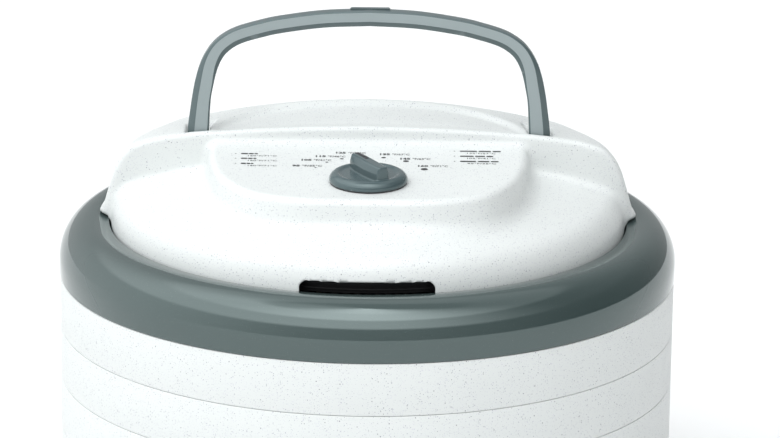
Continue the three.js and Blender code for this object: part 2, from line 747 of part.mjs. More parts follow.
const controls = new THREE.Group();
controls.position.set(0, KNOB_Y, panelHeight(KNOB_Y));
controls.rotation.x = PANEL_TILT;
powerHead.add(controls);
place(controls, "thermostat_knob", knob(), satinGrey);
place(controls, "thermostat_shaft", thermostatShaft(), steel);
place(controls, "thermostat_body", thermostatBody(), darkPlastic);
place(controls, "thermostat_nut", thermostatNut(), zincPlate);

place(powerHead, "fan_impeller", impeller(), darkPlastic);
place(powerHead, "impeller_nut", impellerNut(), zincPlate);
place(powerHead, "motor_shaft", motorShaft(), steel);
place(powerHead, "rotor_core", rotorCore(), steel);
place(powerHead, "stator_core", statorCore(), steel);
place(powerHead, "motor_coil", motorCoil(), copper);
place(powerHead, "bearing_bracket_lower", bearingBracket(40, deckTop, STATOR_BOTTOM - GAP), zincPlate);
place(powerHead, "bearing_bracket_upper", bearingBracket(65.4, STATOR_TOP + GAP, 66), zincPlate);
[-1, 1].forEach((sign, i) => {
  const bolt = screw(sign * MOTOR_BOLT_X, 0, 67.3, 3.4, 2, 1.7, 35.5, -1);
  place(powerHead, `motor_bolt_${i + 1}`, bolt, steel);
});
place(powerHead, "motor_deck", motorDeck(), zincPlate);
postAngles.forEach((a, i) => {
  const [x, y] = polar(DECK_POST_R, a);
  place(powerHead, `deck_screw_${i + 1}`, screw(x, y, deckTop, 3.5, 2, 1.6, 11, -1), steel);
});

place(powerHead, "heater_coil", heaterCoil(), heaterWire);
around(HEATER_BOARDS, Math.PI / 12).forEach((angle, i) => {
  place(powerHead, `heater_board_${i + 1}`, heaterBoard(angle), mica);
});
place(powerHead, "thermal_fuse", thermalFuse(), steel);
place(powerHead, "terminal_block", terminalBlock(), darkPlastic);
place(powerHead, "cord_gland", cordGland(), darkPlastic);
place(powerHead, "gland_nut", glandNut(), darkPlastic);

// Each lead runs from the terminal block to the piece that it is named after.
const leads = {
  lead_thermostat: [
    [14, 76.8, 41], [38, 62, 44], [46, 20, 48], [43, -40, 52], [30, -70, 57], [16.6, -75.5, 58],
  ],
  lead_motor: [
    [-14, 76.8, 41], [-38, 62, 44], [-45, 20, 50], [-41, -35, 53], [-30, -54, 54], [-19, -54, 54],
  ],
  lead_fuse: [[6, 76.8, 41], [18, 66, 42], [44, 44, 40.5], [53.6, 30, 39.5]],
};
for (const [name, points] of Object.entries(leads)) {
  place(powerHead, name, lead(points), leadCover);
}

export default dehydrator;
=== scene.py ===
"""Round food dehydrator: fine shapes, materials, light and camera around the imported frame.

Shapes are worked out in millimetres and stored in metres. In the power head, heights are counted from head_z,
the underside of its ring. X runs to the right, Y to the back and Z up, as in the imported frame.
"""

import json
import math

import bpy
import numpy as np
from mathutils import Matrix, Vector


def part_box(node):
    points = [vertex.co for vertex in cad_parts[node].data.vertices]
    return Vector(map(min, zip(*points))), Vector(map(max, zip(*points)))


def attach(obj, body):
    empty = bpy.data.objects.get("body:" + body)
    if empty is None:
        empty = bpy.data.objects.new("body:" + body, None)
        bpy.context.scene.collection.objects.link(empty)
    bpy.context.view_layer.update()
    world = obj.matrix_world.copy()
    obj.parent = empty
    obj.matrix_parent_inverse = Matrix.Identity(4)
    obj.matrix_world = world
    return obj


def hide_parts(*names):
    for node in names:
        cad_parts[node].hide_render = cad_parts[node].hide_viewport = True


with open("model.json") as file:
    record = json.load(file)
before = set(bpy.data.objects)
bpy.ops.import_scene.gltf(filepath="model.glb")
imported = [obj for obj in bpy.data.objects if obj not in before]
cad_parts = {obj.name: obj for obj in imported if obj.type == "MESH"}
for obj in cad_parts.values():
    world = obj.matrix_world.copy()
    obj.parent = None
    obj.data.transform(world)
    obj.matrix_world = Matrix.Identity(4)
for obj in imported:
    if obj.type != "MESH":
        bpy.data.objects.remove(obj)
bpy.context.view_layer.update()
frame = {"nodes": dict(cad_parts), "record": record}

MM = 0.001


def box_mm(node):
    low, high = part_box(node)
    return np.array(low) / MM, np.array(high) / MM


# ---------------------------------------------------------------- dimensions, mm
LIP_DROP = 4.6
LIP_THICKNESS = 2.4
LIP_CLEARANCE = 0.6
STACK_WALL = 2.2
TRAY_COUNT = 5
TRAY_FLOOR = 2.4
TRAY_SECTORS = 6
DUCT_R = 148.0
CORE_R = 34.0
BASE_RIM_WIDTH = 8.0
BASE_FLOOR = 4.5
BASE_FLOOR_UNDERSIDE = 2.5

head_z = box_mm("lower_housing")[0][2] + LIP_DROP
STACK_R = box_mm("tray_1_wall")[1][0]
tray_low = {i: box_mm(f"tray_{i}_wall")[0][2] + LIP_DROP for i in range(1, TRAY_COUNT + 1)}
tray_height = box_mm("tray_1_wall")[1][2] - tray_low[1]
BASE_TOP = box_mm("base_pan")[1][2]

RING_R = box_mm("lower_housing")[1][0]
RING_WALL = 2.5
RING_STRAIGHT = 9.0
RING_CREST_R = 155.5
RING_CREST_Z = 31.4
RING_LIP_R = 146.4
RING_LIP_Z = 29.9
SHELF_Z = 26.0
CHANNEL_R = 143.5
PLATE_UNDERSIDE = 2.0
PLATE_TOP = 4.5
INTAKE_R = 55.0
HOUSING_SCREW_R = 132.0
DECK_POST_R = 112.0
DECK_Z = 33.5

SHELL = 2.6
DISC_R = 145.3
DISC_TOP = 62.0
HOUSING_BOTTOM = 26.3
FOOT_X = 152.8
FOOT_Z = 31.8
BRIDGE_FRONT_Y = -8.5
BRIDGE_CREST_Y = 45.0
BRIDGE_BACK_Y = 50.0
BRIDGE_FOOT_STEP = 9.7
PANEL_Z = 75.0
PANEL_Z_AT = -10.0
PANEL_TILT = math.radians(2)
PANEL_EDGE = 3.4
PANEL_DRAFT = 0.2
SLOT_HALF_WIDTH = 36.5
SLOT_TOP = 35.4
GLAND_Z = 37.5
GLAND_HOLE_R = 4.8
SHAFT_HOLE_R = 5.2
SCREW_ANGLE = math.pi / 4
DECK_SCREW_ANGLE = math.pi / 8
SCREEN_R = 134.0

KNOB_Y = -76.5
KNOB_R = 21.6
KNOB_TOP = 12.9
KNOB_GRIP_REACH = 15.9
KNOB_GRIP_SHIFT = 0.7
KNOB_POINTER = math.radians(29)
POINTER_AT = 0.5
POINTER_WIDTH = 2.0
POINTER_START = 2.2
POINTER_LIFT = 0.12
KNOB_HOLLOW_R = 11.0
KNOB_SOCKET_R = 3.3

HANDLE_Y = 1.5
PIVOT_Z = 70.0
HANDLE_LEG_X = 96.5
HANDLE_LEG = 12.0
HANDLE_BAR = 9.2
HANDLE_DEPTH = 8.8
HANDLE_FOLD = math.radians(55)
POCKET_FLOOR_Z = 62.0
GROOVE_LENGTH = 42.0
GROOVE_WIDENING = 5.0

FLOOR_HALF_M = 6.0
FLOOR_GAP_M = 0.0005

ROUND_SEGMENTS = 168
HOUSING_VOXEL = 1.3
KNOB_VOXEL = 0.42


def panel_height(y):
    return PANEL_Z + math.tan(PANEL_TILT) * (y - PANEL_Z_AT)


# ---------------------------------------------------------------- camera
CAMERA_AT = (0.0, -2362.7, 714.6)
CAMERA_YAW = math.radians(0.303)
CAMERA_PITCH = math.radians(16.167)
CAMERA_ROLL = math.radians(0.719)
CAMERA_LENS = 200.28
CAMERA_SENSOR = 36.0


def make_camera():
    forward = np.array([
        math.sin(CAMERA_YAW) * math.cos(CAMERA_PITCH),
        math.cos(CAMERA_YAW) * math.cos(CAMERA_PITCH),
        -math.sin(CAMERA_PITCH),
    ])
    level = np.array([math.cos(CAMERA_YAW), -math.sin(CAMERA_YAW), 0.0])
    up = np.cross(level, forward)
    right = math.cos(CAMERA_ROLL) * level + math.sin(CAMERA_ROLL) * up
    top = math.cos(CAMERA_ROLL) * up - math.sin(CAMERA_ROLL) * level
    camera = bpy.data.objects.new("photo_camera", bpy.data.cameras.new("photo_camera"))
    camera.data.lens = CAMERA_LENS
    camera.data.sensor_width = CAMERA_SENSOR
    camera.data.clip_end = 50.0
    matrix = Matrix.Identity(4)
    for row in range(3):
        matrix[row][0] = right[row]
        matrix[row][1] = top[row]
        matrix[row][2] = -forward[row]
    matrix[0][3] = CAMERA_AT[0] * MM
    matrix[1][3] = CAMERA_AT[1] * MM
    matrix[2][3] = (CAMERA_AT[2] + head_z) * MM
    camera.matrix_world = matrix
    bpy.context.scene.collection.objects.link(camera)
    bpy.context.scene.camera = camera


make_camera()


# ---------------------------------------------------------------- node materials
class Graph:
    """A few short calls over the node tree of a material, or of the world."""

    def __init__(self, name, store=bpy.data.materials, kind="BSDF_PRINCIPLED"):
        self.material = store.new(name)
        self.material.use_nodes = True
        self.tree = self.material.node_tree
        self.shader = next(n for n in self.tree.nodes if n.type == kind)

    def node(self, kind, **settings):
        made = self.tree.nodes.new(kind)
        for key, value in settings.items():
            setattr(made, key, value)
        return made

    def plug(self, source, target):
        if isinstance(source, bpy.types.NodeSocket):
            self.tree.links.new(source, target)
        else:
            target.default_value = source

    def place(self):
        return self.node("ShaderNodeTexCoord").outputs["Object"]

    def maths(self, operation, a, b=0.0, clamp=False):
        made = self.node("ShaderNodeMath", operation=operation, use_clamp=clamp)
        self.plug(a, made.inputs[0])
        self.plug(b, made.inputs[1])
        return made.outputs[0]

    def spread(self, value, low, high, to_low=0.0, to_high=1.0, smooth=False):
        made = self.node("ShaderNodeMapRange", clamp=True)
        if smooth:
            made.interpolation_type = "SMOOTHSTEP"
        self.plug(value, made.inputs["Value"])
        self.plug(low, made.inputs["From Min"])
        self.plug(high, made.inputs["From Max"])
        self.plug(to_low, made.inputs["To Min"])
        self.plug(to_high, made.inputs["To Max"])
        return made.outputs["Result"]

    def noise(self, scale, detail=3.0, roughness=0.55, stretch=None, offset=None):
        made = self.node("ShaderNodeTexNoise")
        made.inputs["Scale"].default_value = scale
        made.inputs["Detail"].default_value = detail
        made.inputs["Roughness"].default_value = roughness
        self.plug(self.mapped(stretch, offset), made.inputs["Vector"])
        return made.outputs["Fac"]

    def mapped(self, stretch=None, offset=None):
        where = self.place()
        if stretch is None and offset is None:
            return where
        mapping = self.node("ShaderNodeMapping")
        mapping.inputs["Scale"].default_value = stretch or (1, 1, 1)
        mapping.inputs["Location"].default_value = offset or (0, 0, 0)
        self.plug(where, mapping.inputs["Vector"])
        return mapping.outputs["Vector"]

    def cells(self, scale, offset=None):
        made = self.node("ShaderNodeTexVoronoi", feature="F1")
        made.inputs["Scale"].default_value = scale
        self.plug(self.mapped(None, offset), made.inputs["Vector"])
        parts = self.node("ShaderNodeSeparateColor")
        self.plug(made.outputs["Color"], parts.inputs["Color"])
        return made.outputs["Distance"], parts.outputs

    def mix(self, share, a, b):
        made = self.node("ShaderNodeMix", data_type="RGBA")
        self.plug(share, made.inputs["Factor"])
        self.plug(a, made.inputs["A"])
        self.plug(b, made.inputs["B"])
        return next(o for o in made.outputs if o.type == "RGBA")

    def edges(self, low, high):
        """0 on flat and hollow places, 1 on sharp outer edges."""
        return self.spread(self.node("ShaderNodeNewGeometry").outputs["Pointiness"], low, high)

    def bump(self, height, depth, strength=0.6, before=None):
        made = self.node("ShaderNodeBump")
        made.inputs["Strength"].default_value = strength
        made.inputs["Distance"].default_value = depth
        self.plug(height, made.inputs["Height"])
        if before is not None:
            self.plug(before, made.inputs["Normal"])
        return made.outputs["Normal"]

    def finish(self, colour=None, roughness=None, normal=None, **fixed):
        if colour is not None:
            self.plug(colour, self.shader.inputs["Base Color"])
        if roughness is not None:
            self.plug(roughness, self.shader.inputs["Roughness"])
        if normal is not None:
            self.plug(normal, self.shader.inputs["Normal"])
        for key, value in fixed.items():
            self.shader.inputs[key.replace("_", " ")].default_value = value
        return self.material


def speckled_plastic(name, base, shade, shift):
    """Off-white moulding compound with dark grey and violet-grey flecks of several sizes through it."""
    g = Graph(name)
    colour = g.mix(g.noise(28.0, offset=shift), base, shade)
    for scale, share, small, large, ink, strength in (
        (1500.0, 0.50, 0.14, 0.36, (0.38, 0.39, 0.43, 1), 0.68),
        (1050.0, 0.34, 0.15, 0.34, (0.19, 0.20, 0.24, 1), 0.74),
        (640.0, 0.11, 0.11, 0.24, (0.09, 0.09, 0.11, 1), 0.85),
    ):
        distance, random = g.cells(scale, tuple(s + scale * 0.01 for s in shift))
        size = g.spread(random["Green"], 0.0, 1.0, small, large)
        inner = g.maths("MULTIPLY", size, 0.72)
        fleck = g.spread(distance, inner, size, 1.0, 0.0)
        chosen = g.maths("LESS_THAN", random["Red"], share)
        weight = g.maths("MULTIPLY", g.maths("MULTIPLY", fleck, chosen), strength)
        tint = g.mix(random["Blue"], ink, (ink[0] * 1.25, ink[1] * 1.15, ink[2] * 1.4, 1))
        colour = g.mix(weight, colour, tint)
    roughness = g.spread(g.noise(90.0, 4.0, offset=shift), 0.3, 0.7, 0.34, 0.46)
    pebble = g.bump(g.noise(1400.0, 2.0), 0.00005, 0.35)
    wave = g.bump(g.noise(16.0, 1.0), 0.0003, 0.12, pebble)
    return g.finish(colour, roughness, wave, IOR=1.5, Specular_IOR_Level=0.5)


def gloss_plastic(name, base, shade, rough_low, rough_high, ripple, index):
    """Smooth coloured plastic: faint flow marks, hairline scuffs and a little wear on the edges."""
    g = Graph(name)
    flow = g.noise(11.0, 5.0, stretch=(1, 1, 3))
    colour = g.mix(flow, base, shade)
    dust = g.spread(g.noise(1900.0, 1.0), 0.70, 0.78, 0.0, 0.14)
    colour = g.mix(dust, colour, (0.35, 0.38, 0.38, 1))
    worn = g.maths("MULTIPLY", g.edges(0.53, 0.62), 0.25)
    colour = g.mix(worn, colour, (0.30, 0.34, 0.34, 1))
    scuff = g.spread(g.noise(60.0, 8.0, 0.7, stretch=(1, 1, 9)), 0.50, 0.72)
    roughness = g.spread(scuff, 0.0, 1.0, rough_low, rough_high)
    soft = g.bump(g.noise(9.0, 2.0), 0.0006, ripple)
    fine = g.bump(g.noise(2200.0, 1.0), 0.00002, 0.2, soft)
    return g.finish(colour, roughness, fine, IOR=index, Specular_Tint=(0.87, 1.0, 0.985, 1))


def dark_moulding(name, base, grain):
    """Dark textured moulding, paler where its edges are worn."""
    g = Graph(name)
    colour = g.mix(g.noise(60.0, 5.0), base, tuple(min(1.0, c * 1.7) for c in base[:3]) + (1,))
    worn = g.maths("MULTIPLY", g.edges(0.52, 0.60), 0.5)
    colour = g.mix(worn, colour, (0.16, 0.16, 0.17, 1))
    roughness = g.spread(g.noise(300.0, 4.0), 0.3, 0.7, 0.42, 0.62)
    return g.finish(colour, roughness, g.bump(g.noise(grain, 3.0), 0.00008, 0.5))


def bare_metal(name, base, stain, rough_low, rough_high, stretch):
    """Metal with faint stains, brushed along one axis."""
    g = Graph(name)
    colour = g.mix(g.spread(g.noise(45.0, 6.0, 0.65), 0.42, 0.66), base, stain)
    brushed = g.noise(260.0, 4.0, 0.7, stretch=stretch)
    roughness = g.spread(brushed, 0.3, 0.7, rough_low, rough_high)
    return g.finish(colour, roughness, g.bump(brushed, 0.00004, 0.5), Metallic=1.0)


def wound_wire(name, base, painted_gap_shade, turns, axis):
    """Metal wire wound in close turns across the given axis, told apart by bands of painted shade where the
    grooves between the turns fall.
    """
    g = Graph(name)
    wave = g.node("ShaderNodeTexWave", wave_type="BANDS", bands_direction=axis)
    wave.inputs["Scale"].default_value = turns
    wave.inputs["Distortion"].default_value = 0.4
    g.plug(g.place(), wave.inputs["Vector"])
    turn = wave.outputs["Fac"]
    colour = g.mix(turn, painted_gap_shade, base)
    roughness = g.spread(g.noise(200.0, 3.0), 0.3, 0.7, 0.28, 0.45)
    return g.finish(colour, roughness, g.bump(turn, 0.0003, 0.8), Metallic=1.0)


def mica_sheet(name):
    """Pressed mica: layered flakes, with small painted glints: bright spots in the colour that stand for
    light caught by the flakes.
    """
    g = Graph(name)
    flake = g.noise(130.0, 7.0, 0.75, stretch=(1, 1, 4))
    colour = g.mix(flake, (0.30, 0.22, 0.13, 1), (0.58, 0.48, 0.33, 1))
    painted_glint, _ = g.cells(700.0)
    colour = g.mix(g.spread(painted_glint, 0.05, 0.16, 0.5, 0.0), colour, (0.75, 0.69, 0.55, 1))
    roughness = g.spread(flake, 0.35, 0.65, 0.3, 0.6)
    return g.finish(colour, roughness, g.bump(flake, 0.0001, 0.6))


def rubber_cover(name, base):
    """The soft cover of a lead."""
    g = Graph(name)
    colour = g.mix(g.noise(90.0, 4.0), base, tuple(c * 0.6 for c in base[:3]) + (1,))
    roughness = g.spread(g.noise(400.0, 3.0), 0.3, 0.7, 0.45, 0.65)
    return g.finish(colour, roughness, g.bump(g.noise(900.0, 2.0), 0.00006, 0.5))


def printed_ink(name, base):
    """Pad-printed ink: nearly even, a little thinner in places."""
    g = Graph(name)
    thin = g.spread(g.noise(700.0, 3.0), 0.52, 0.75, 0.0, 0.35)
    colour = g.mix(thin, base, tuple(min(1.0, c + 0.25) for c in base[:3]) + (1,))
    roughness = g.spread(g.noise(500.0, 2.0), 0.3, 0.7, 0.35, 0.55)
    return g.finish(colour, roughness, g.bump(g.noise(1500.0, 2.0), 0.00002, 0.4))


WHITE = (0.73, 0.752, 0.742, 1)
WHITE_SHADE = (0.70, 0.724, 0.714, 1)
materials = {
    "speckled_white": speckled_plastic("speckled_white_housing", WHITE, WHITE_SHADE, (3.1, 1.7, 0.4)),
    "tray_white": speckled_plastic("speckled_white_tray", WHITE, WHITE_SHADE, (0.6, 4.3, 2.9)),
    "gloss_grey": gloss_plastic(
        "gloss_grey_ring", (0.046, 0.066, 0.065, 1), (0.052, 0.073, 0.072, 1), 0.05, 0.11, 0.03, 1.8
    ),
    # The handle's two greys are lit and shaded copies of one plastic: satin_grey, the lighter, is painted
    # light on the flat front face, and dark_satin is painted shade on the sides and edges.
    "satin_grey": gloss_plastic(
        "lit_satin_grey_handle_face", (0.30, 0.345, 0.352, 1), (0.32, 0.365, 0.372, 1), 0.34, 0.42, 0.01, 1.5
    ),
    "dark_satin": gloss_plastic(
        "shaded_satin_grey_handle_sides", (0.085, 0.115, 0.120, 1), (0.098, 0.128, 0.133, 1), 0.30, 0.40, 0.01, 1.5
    ),
    "knob_grey": gloss_plastic(
        "satin_grey_knob", (0.066, 0.096, 0.103, 1), (0.076, 0.106, 0.113, 1), 0.12, 0.20, 0.02, 1.6
    ),
    "dark_plastic": dark_moulding("dark_moulding", (0.022, 0.022, 0.025, 1), 1300.0),
    "slot_black": dark_moulding("slot_black", (0.004, 0.004, 0.005, 1), 900.0),
    "mica": mica_sheet("mica_sheet"),
    "steel": bare_metal(
        "bright_steel", (0.60, 0.61, 0.62, 1), (0.42, 0.42, 0.43, 1), 0.22, 0.42, (1, 1, 8)
    ),
    "zinc_plate": bare_metal(
        "zinc_plate", (0.66, 0.68, 0.70, 1), (0.50, 0.52, 0.50, 1), 0.28, 0.5, (6, 1, 1)
    ),
    # The second colour of each winding is painted shade for the grooves between its turns.
    "copper": wound_wire("copper_winding", (0.64, 0.27, 0.11, 1), (0.20, 0.07, 0.03, 1), 160.0, "Z"),
    "heater_wire": wound_wire(
        "heater_winding", (0.34, 0.31, 0.28, 1), (0.06, 0.05, 0.05, 1), 110.0, "DIAGONAL"
    ),
    "lead_cover": rubber_cover("silicone_lead", (0.38, 0.045, 0.035, 1)),
    "ink_black": printed_ink("ink_black", (0.012, 0.013, 0.016, 1)),
}


# ---------------------------------------------------------------- mesh helpers
def piece(name, vertices, faces, material, body, replaces=(), sharp=40.0):
    """A mesh object from vertices in mm, riding on a body."""
    mesh = bpy.data.meshes.new(name)
    mesh.from_pydata((np.asarray(vertices, float) * MM).tolist(), [], [list(f) for f in faces])
    mesh.validate()
    mesh.shade_smooth()
    mesh.set_sharp_from_angle(angle=math.radians(sharp))
    mesh.materials.append(materials[material])
    made = bpy.data.objects.new(name, mesh)
    bpy.context.scene.collection.objects.link(made)
    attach(made, body)
    if replaces:
        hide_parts(*replaces)
    return made


def merged(*parts):
    """Several (vertices, faces) parts as one."""
    vertices, faces, count = [], [], 0
    for part_vertices, part_faces in parts:
        vertices.append(np.asarray(part_vertices, float))
        faces += [[i + count for i in face] for face in part_faces]
        count += len(part_vertices)
    return np.concatenate(vertices), faces


def moved(part, x=0.0, y=0.0, z=0.0):
    vertices, faces = part
    return np.asarray(vertices, float) + np.array([x, y, z]), faces


def rounded(points, radius, steps=3):
    """A closed outline whose corners are replaced by arcs."""
    made = []
    count = len(points)
    radii = radius if isinstance(radius, (list, tuple)) else [radius] * count
    for i, corner in enumerate(points):
        corner = np.array(corner, float)
        to_last = np.array(points[i - 1], float) - corner
        to_next = np.array(points[(i + 1) % count], float) - corner
        reach = min(np.linalg.norm(to_last), np.linalg.norm(to_next)) * 0.48
        a = to_last / np.linalg.norm(to_last)
        b = to_next / np.linalg.norm(to_next)
        half = math.acos(float(np.clip(a @ b, -1, 1))) / 2
        if radii[i] <= 0 or half > math.radians(86):
            made.append(tuple(corner))
            continue
        along = min(radii[i] / math.tan(half), reach)
        r = along * math.tan(half)
        centre = corner + (a + b) / np.linalg.norm(a + b) * (r / math.sin(half))
        start = corner + a * along - centre
        end = corner + b * along - centre
        turn = math.atan2(start[0] * end[1] - start[1] * end[0], start @ end)
        for k in range(steps + 1):
            t = turn * k / steps
            made.append((
                centre[0] + start[0] * math.cos(t) - start[1] * math.sin(t),
                centre[1] + start[0] * math.sin(t) + start[1] * math.cos(t),
            ))
    return made


def lathe(profile, segments=ROUND_SEGMENTS, start=0.0, turn=2 * math.pi):
    """Turns a closed (radius, height) profile about Z, all the way round or through part of a turn."""
    profile = np.array(profile, float)
    area = np.sum(profile[:, 0] * np.roll(profile[:, 1], -1) - np.roll(profile[:, 0], -1) * profile[:, 1])
    if area < 0:
        profile = profile[::-1]
    count = len(profile)
    whole = turn >= 2 * math.pi - 1e-6
    rings = segments if whole else segments + 1
    angles = start + turn * np.arange(rings) / segments
    r, z = profile[:, 0], profile[:, 1]
    vertices = np.stack([
        np.outer(np.cos(angles), r),
        np.outer(np.sin(angles), r),
        np.tile(z, (rings, 1)),
    ], axis=-1).reshape(-1, 3)
    faces = []
    on_axis = np.abs(r) < 1e-6
    for s in range(segments):
        a, b = s * count, ((s + 1) % rings) * count
        for i in range(count):
            j = (i + 1) % count
            if on_axis[i] and on_axis[j]:
                continue
            if on_axis[i]:
                faces.append((i, b + j, a + j))
            elif on_axis[j]:
                faces.append((a + i, j, b + i))
            else:
                faces.append((a + i, b + i, b + j, a + j))
    if not whole:
        faces.append(tuple(range(count - 1, -1, -1)))
        faces.append(tuple((rings - 1) * count + i for i in range(count)))
    return vertices, faces


def slab(outline, low, high):
    """A flat outline raised from one height to another."""
    count = len(outline)
    vertices = [(x, y, low) for x, y in outline] + [(x, y, high) for x, y in outline]
    faces = [tuple(range(count - 1, -1, -1)), tuple(range(count, 2 * count))]
    faces += [(i, (i + 1) % count, (i + 1) % count + count, i + count) for i in range(count)]
    return np.array(vertices, float), faces


def bar_slab(r0, r1, width, angle, low, high):
    """A radial bar between two radii."""
    c, s = math.cos(angle), math.sin(angle)
    corners = [(r0, -width / 2), (r1, -width / 2), (r1, width / 2), (r0, width / 2)]
    return slab([(x * c - y * s, x * s + y * c) for x, y in corners], low, high)


def around(count, offset=0.0):
    """Evenly spaced angles of one turn."""
    return [offset + 2 * math.pi * i / count for i in range(count)]


def spline(points, per_span=4):
    """A Catmull-Rom line through the points, ends included."""
    p = np.array(points, float)
    padded = np.vstack([2 * p[0] - p[1], p, 2 * p[-1] - p[-2]])
    made = []
    for i in range(1, len(padded) - 2):
        p0, p1, p2, p3 = padded[i - 1 : i + 3]
        for k in range(per_span):
            t = k / per_span
            made.append(0.5 * (2 * p1 + (p2 - p0) * t + (2 * p0 - 5 * p1 + 4 * p2 - p3) * t**2
                               + (3 * p1 - p0 - 3 * p2 + p3) * t**3))
    made.append(p[-1])
    return np.array(made)


# ---------------------------------------------------------------- distance fields
def outline_distance(px, py, outline):
    """Signed distance from points to a closed outline, negative inside."""
    nearest = np.full(px.shape, 1e12)
    inside = np.zeros(px.shape, bool)
    last = outline[-1]
    for point in outline:
        ax, ay = float(last[0]), float(last[1])
        ex, ey = float(point[0]) - ax, float(point[1]) - ay
        last = point
        length = ex * ex + ey * ey
        if length < 1e-12:
            continue
        wx, wy = px - ax, py - ay
        t = np.clip((wx * ex + wy * ey) / length, 0, 1)
        nearest = np.minimum(nearest, (wx - t * ex) ** 2 + (wy - t * ey) ** 2)
        if abs(ey) > 1e-12:
            crosses = (ay > py) != (ay + ey > py)
            inside ^= crosses & (px < ax + wy * ex / ey)
    return np.where(inside, -1.0, 1.0) * np.sqrt(nearest)


def round_max(radius, *fields):
    """The common part of several solids, with its outer edges rounded to a radius."""
    total = sum(np.maximum(f + radius, 0) ** 2 for f in fields)
    inner = np.maximum.reduce([f + radius for f in fields])
    return np.sqrt(total) + np.minimum(inner, 0) - radius


def round_min(radius, a, b):
    """Two solids joined, with a fillet of a radius where they meet."""
    reach = np.sqrt(np.maximum(radius - a, 0) ** 2 + np.maximum(radius - b, 0) ** 2)
    return np.maximum(radius, np.minimum(a, b)) - reach


def smoothstep(low, high, value):
    t = np.clip((value - low) / (high - low), 0, 1)
    return t * t * (3 - 2 * t)


def surface(field, low, high, step, passes=3):
    """The zero surface of a distance field as quads, from one vertex a cell pulled onto the surface."""
    axes = [np.arange(low[k], high[k] + step, step) for k in range(3)]
    x, y, z = np.meshgrid(*axes, indexing="ij")
    values = field(x, y, z)
    inside = values < 0
    corners = [(i, j, k) for i in (0, 1) for j in (0, 1) for k in (0, 1)]
    shape = tuple(n - 1 for n in values.shape)

    def corner_view(array, c):
        return array[c[0] : c[0] + shape[0], c[1] : c[1] + shape[1], c[2] : c[2] + shape[2]]

    count = sum(corner_view(inside, c).astype(np.int8) for c in corners)
    cells = np.argwhere((count > 0) & (count < 8))
    number = np.full(shape, -1, np.int64)
    number[tuple(cells.T)] = np.arange(len(cells))
    total = np.zeros((len(cells), 3))
    hits = np.zeros(len(cells))
    for a in corners:
        for k in range(3):
            if a[k]:
                continue
            b = tuple(1 if n == k else a[n] for n in range(3))
            va = values[tuple((cells + a).T)]
            vb = values[tuple((cells + b).T)]
            crossing = (va < 0) != (vb < 0)
            t = np.where(crossing, va / np.where(crossing, va - vb, 1), 0)
            point = np.array(a, float) + np.outer(t, np.array(b) - np.array(a))
            total += np.where(crossing[:, None], point, 0)
            hits += crossing
    vertices = (cells + total / hits[:, None]) * step + np.array(low, float)
    faces = []
    for k in range(3):
        u, v = (k + 1) % 3, (k + 2) % 3
        near = [slice(None)] * 3
        far = [slice(None)] * 3
        near[k], far[k] = slice(0, -1), slice(1, None)
        change = inside[tuple(near)] != inside[tuple(far)]
        edges = np.argwhere(change)
        keep = (edges[:, u] > 0) & (edges[:, v] > 0)
        keep &= (edges[:, u] < values.shape[u] - 1) & (edges[:, v] < values.shape[v] - 1)
        edges = edges[keep]
        outward = inside[tuple(edges.T)]
        ring = []
        for du, dv in ((1, 1), (0, 1), (0, 0), (1, 0)):
            cell = edges.copy()
            cell[:, u] -= du
            cell[:, v] -= dv
            ring.append(number[tuple(cell.T)])
        ring = np.stack(ring, axis=1)
        ring[~outward] = ring[~outward][:, ::-1]
        faces.append(ring)
    faces = np.concatenate(faces)
    small = step * 0.04
    for _ in range(passes):
        here = field(*vertices.T)
        slope = np.stack([
            field(*(vertices + small * np.eye(3)[k]).T) - here for k in range(3)
        ], axis=1) / small
        steep = np.maximum((slope**2).sum(1), 0.25)
        shift = slope * (here / steep)[:, None]
        far = np.linalg.norm(shift, axis=1)
        shift *= np.minimum(1, 0.3 * step / np.maximum(far, 1e-9))[:, None]
        vertices = vertices - shift
    return vertices, faces


# ---------------------------------------------------------------- base pan and trays
wall_inner = STACK_R - STACK_WALL
lip_outer = wall_inner - LIP_CLEARANCE
lip_inner = lip_outer - LIP_THICKNESS


def base_pan():
    rim_inner = STACK_R - BASE_RIM_WIDTH
    outline = rounded(
        [
            (0, BASE_FLOOR), (wall_inner, BASE_FLOOR), (wall_inner, BASE_TOP), (STACK_R, BASE_TOP),
            (STACK_R, 0), (rim_inner, 0), (rim_inner, BASE_FLOOR_UNDERSIDE), (0, BASE_FLOOR_UNDERSIDE),
        ],
        [0, 1.6, 0.5, 0.35, 1.4, 0.8, 0.8, 0],
    )
    ribs = [
        lathe(rounded([(r, 4.2), (r, 5.3), (r + 1.6, 5.3), (r + 1.6, 4.2)], 0.4, 2), 120)
        for r in (60, 120)
    ]
    spokes = [bar_slab(30, 160, 1.6, a, 4.2, 5.2) for a in around(12)]
    return merged(lathe(outline), *ribs, *spokes)


def tray_floor():
    """The open lattice that food lies on: ring bars and radial bars between a core collar and the rim."""
    top, bottom, raised, fine = TRAY_FLOOR, 0.0, 0.7, 1.3
    rings = []
    for i, r in enumerate(np.linspace(CORE_R + 9, DUCT_R - 10.5, 12)):
        strong = i in (4, 8)
        wide, low = (2.4, bottom) if strong else (fine, raised)
        rings.append(lathe([(r, low), (r + wide, low), (r + wide, top - 0.1), (r, top - 0.1)], 96))
    outer = DUCT_R - 3
    radial = [bar_slab(CORE_R + 2, outer, 3.0, a, bottom, top) for a in around(TRAY_SECTORS)]
    for start, count, offset in (
        (CORE_R + 2, TRAY_SECTORS * 4, 0.0), (64, 24, math.pi / 24), (100, 48, math.pi / 48)
    ):
        radial += [bar_slab(start, outer, fine, a, raised, top) for a in around(count, offset)]
    collar = lathe(rounded([(CORE_R, 0), (CORE_R + 3, 0), (CORE_R + 3, top), (CORE_R, top)], 0.4, 2), 96)
    rim = lathe(rounded([(DUCT_R - 4.5, 0), (DUCT_R, 0), (DUCT_R, top), (DUCT_R - 4.5, top)], 0.5, 2), 120)
    return merged(collar, rim, *rings, *radial)


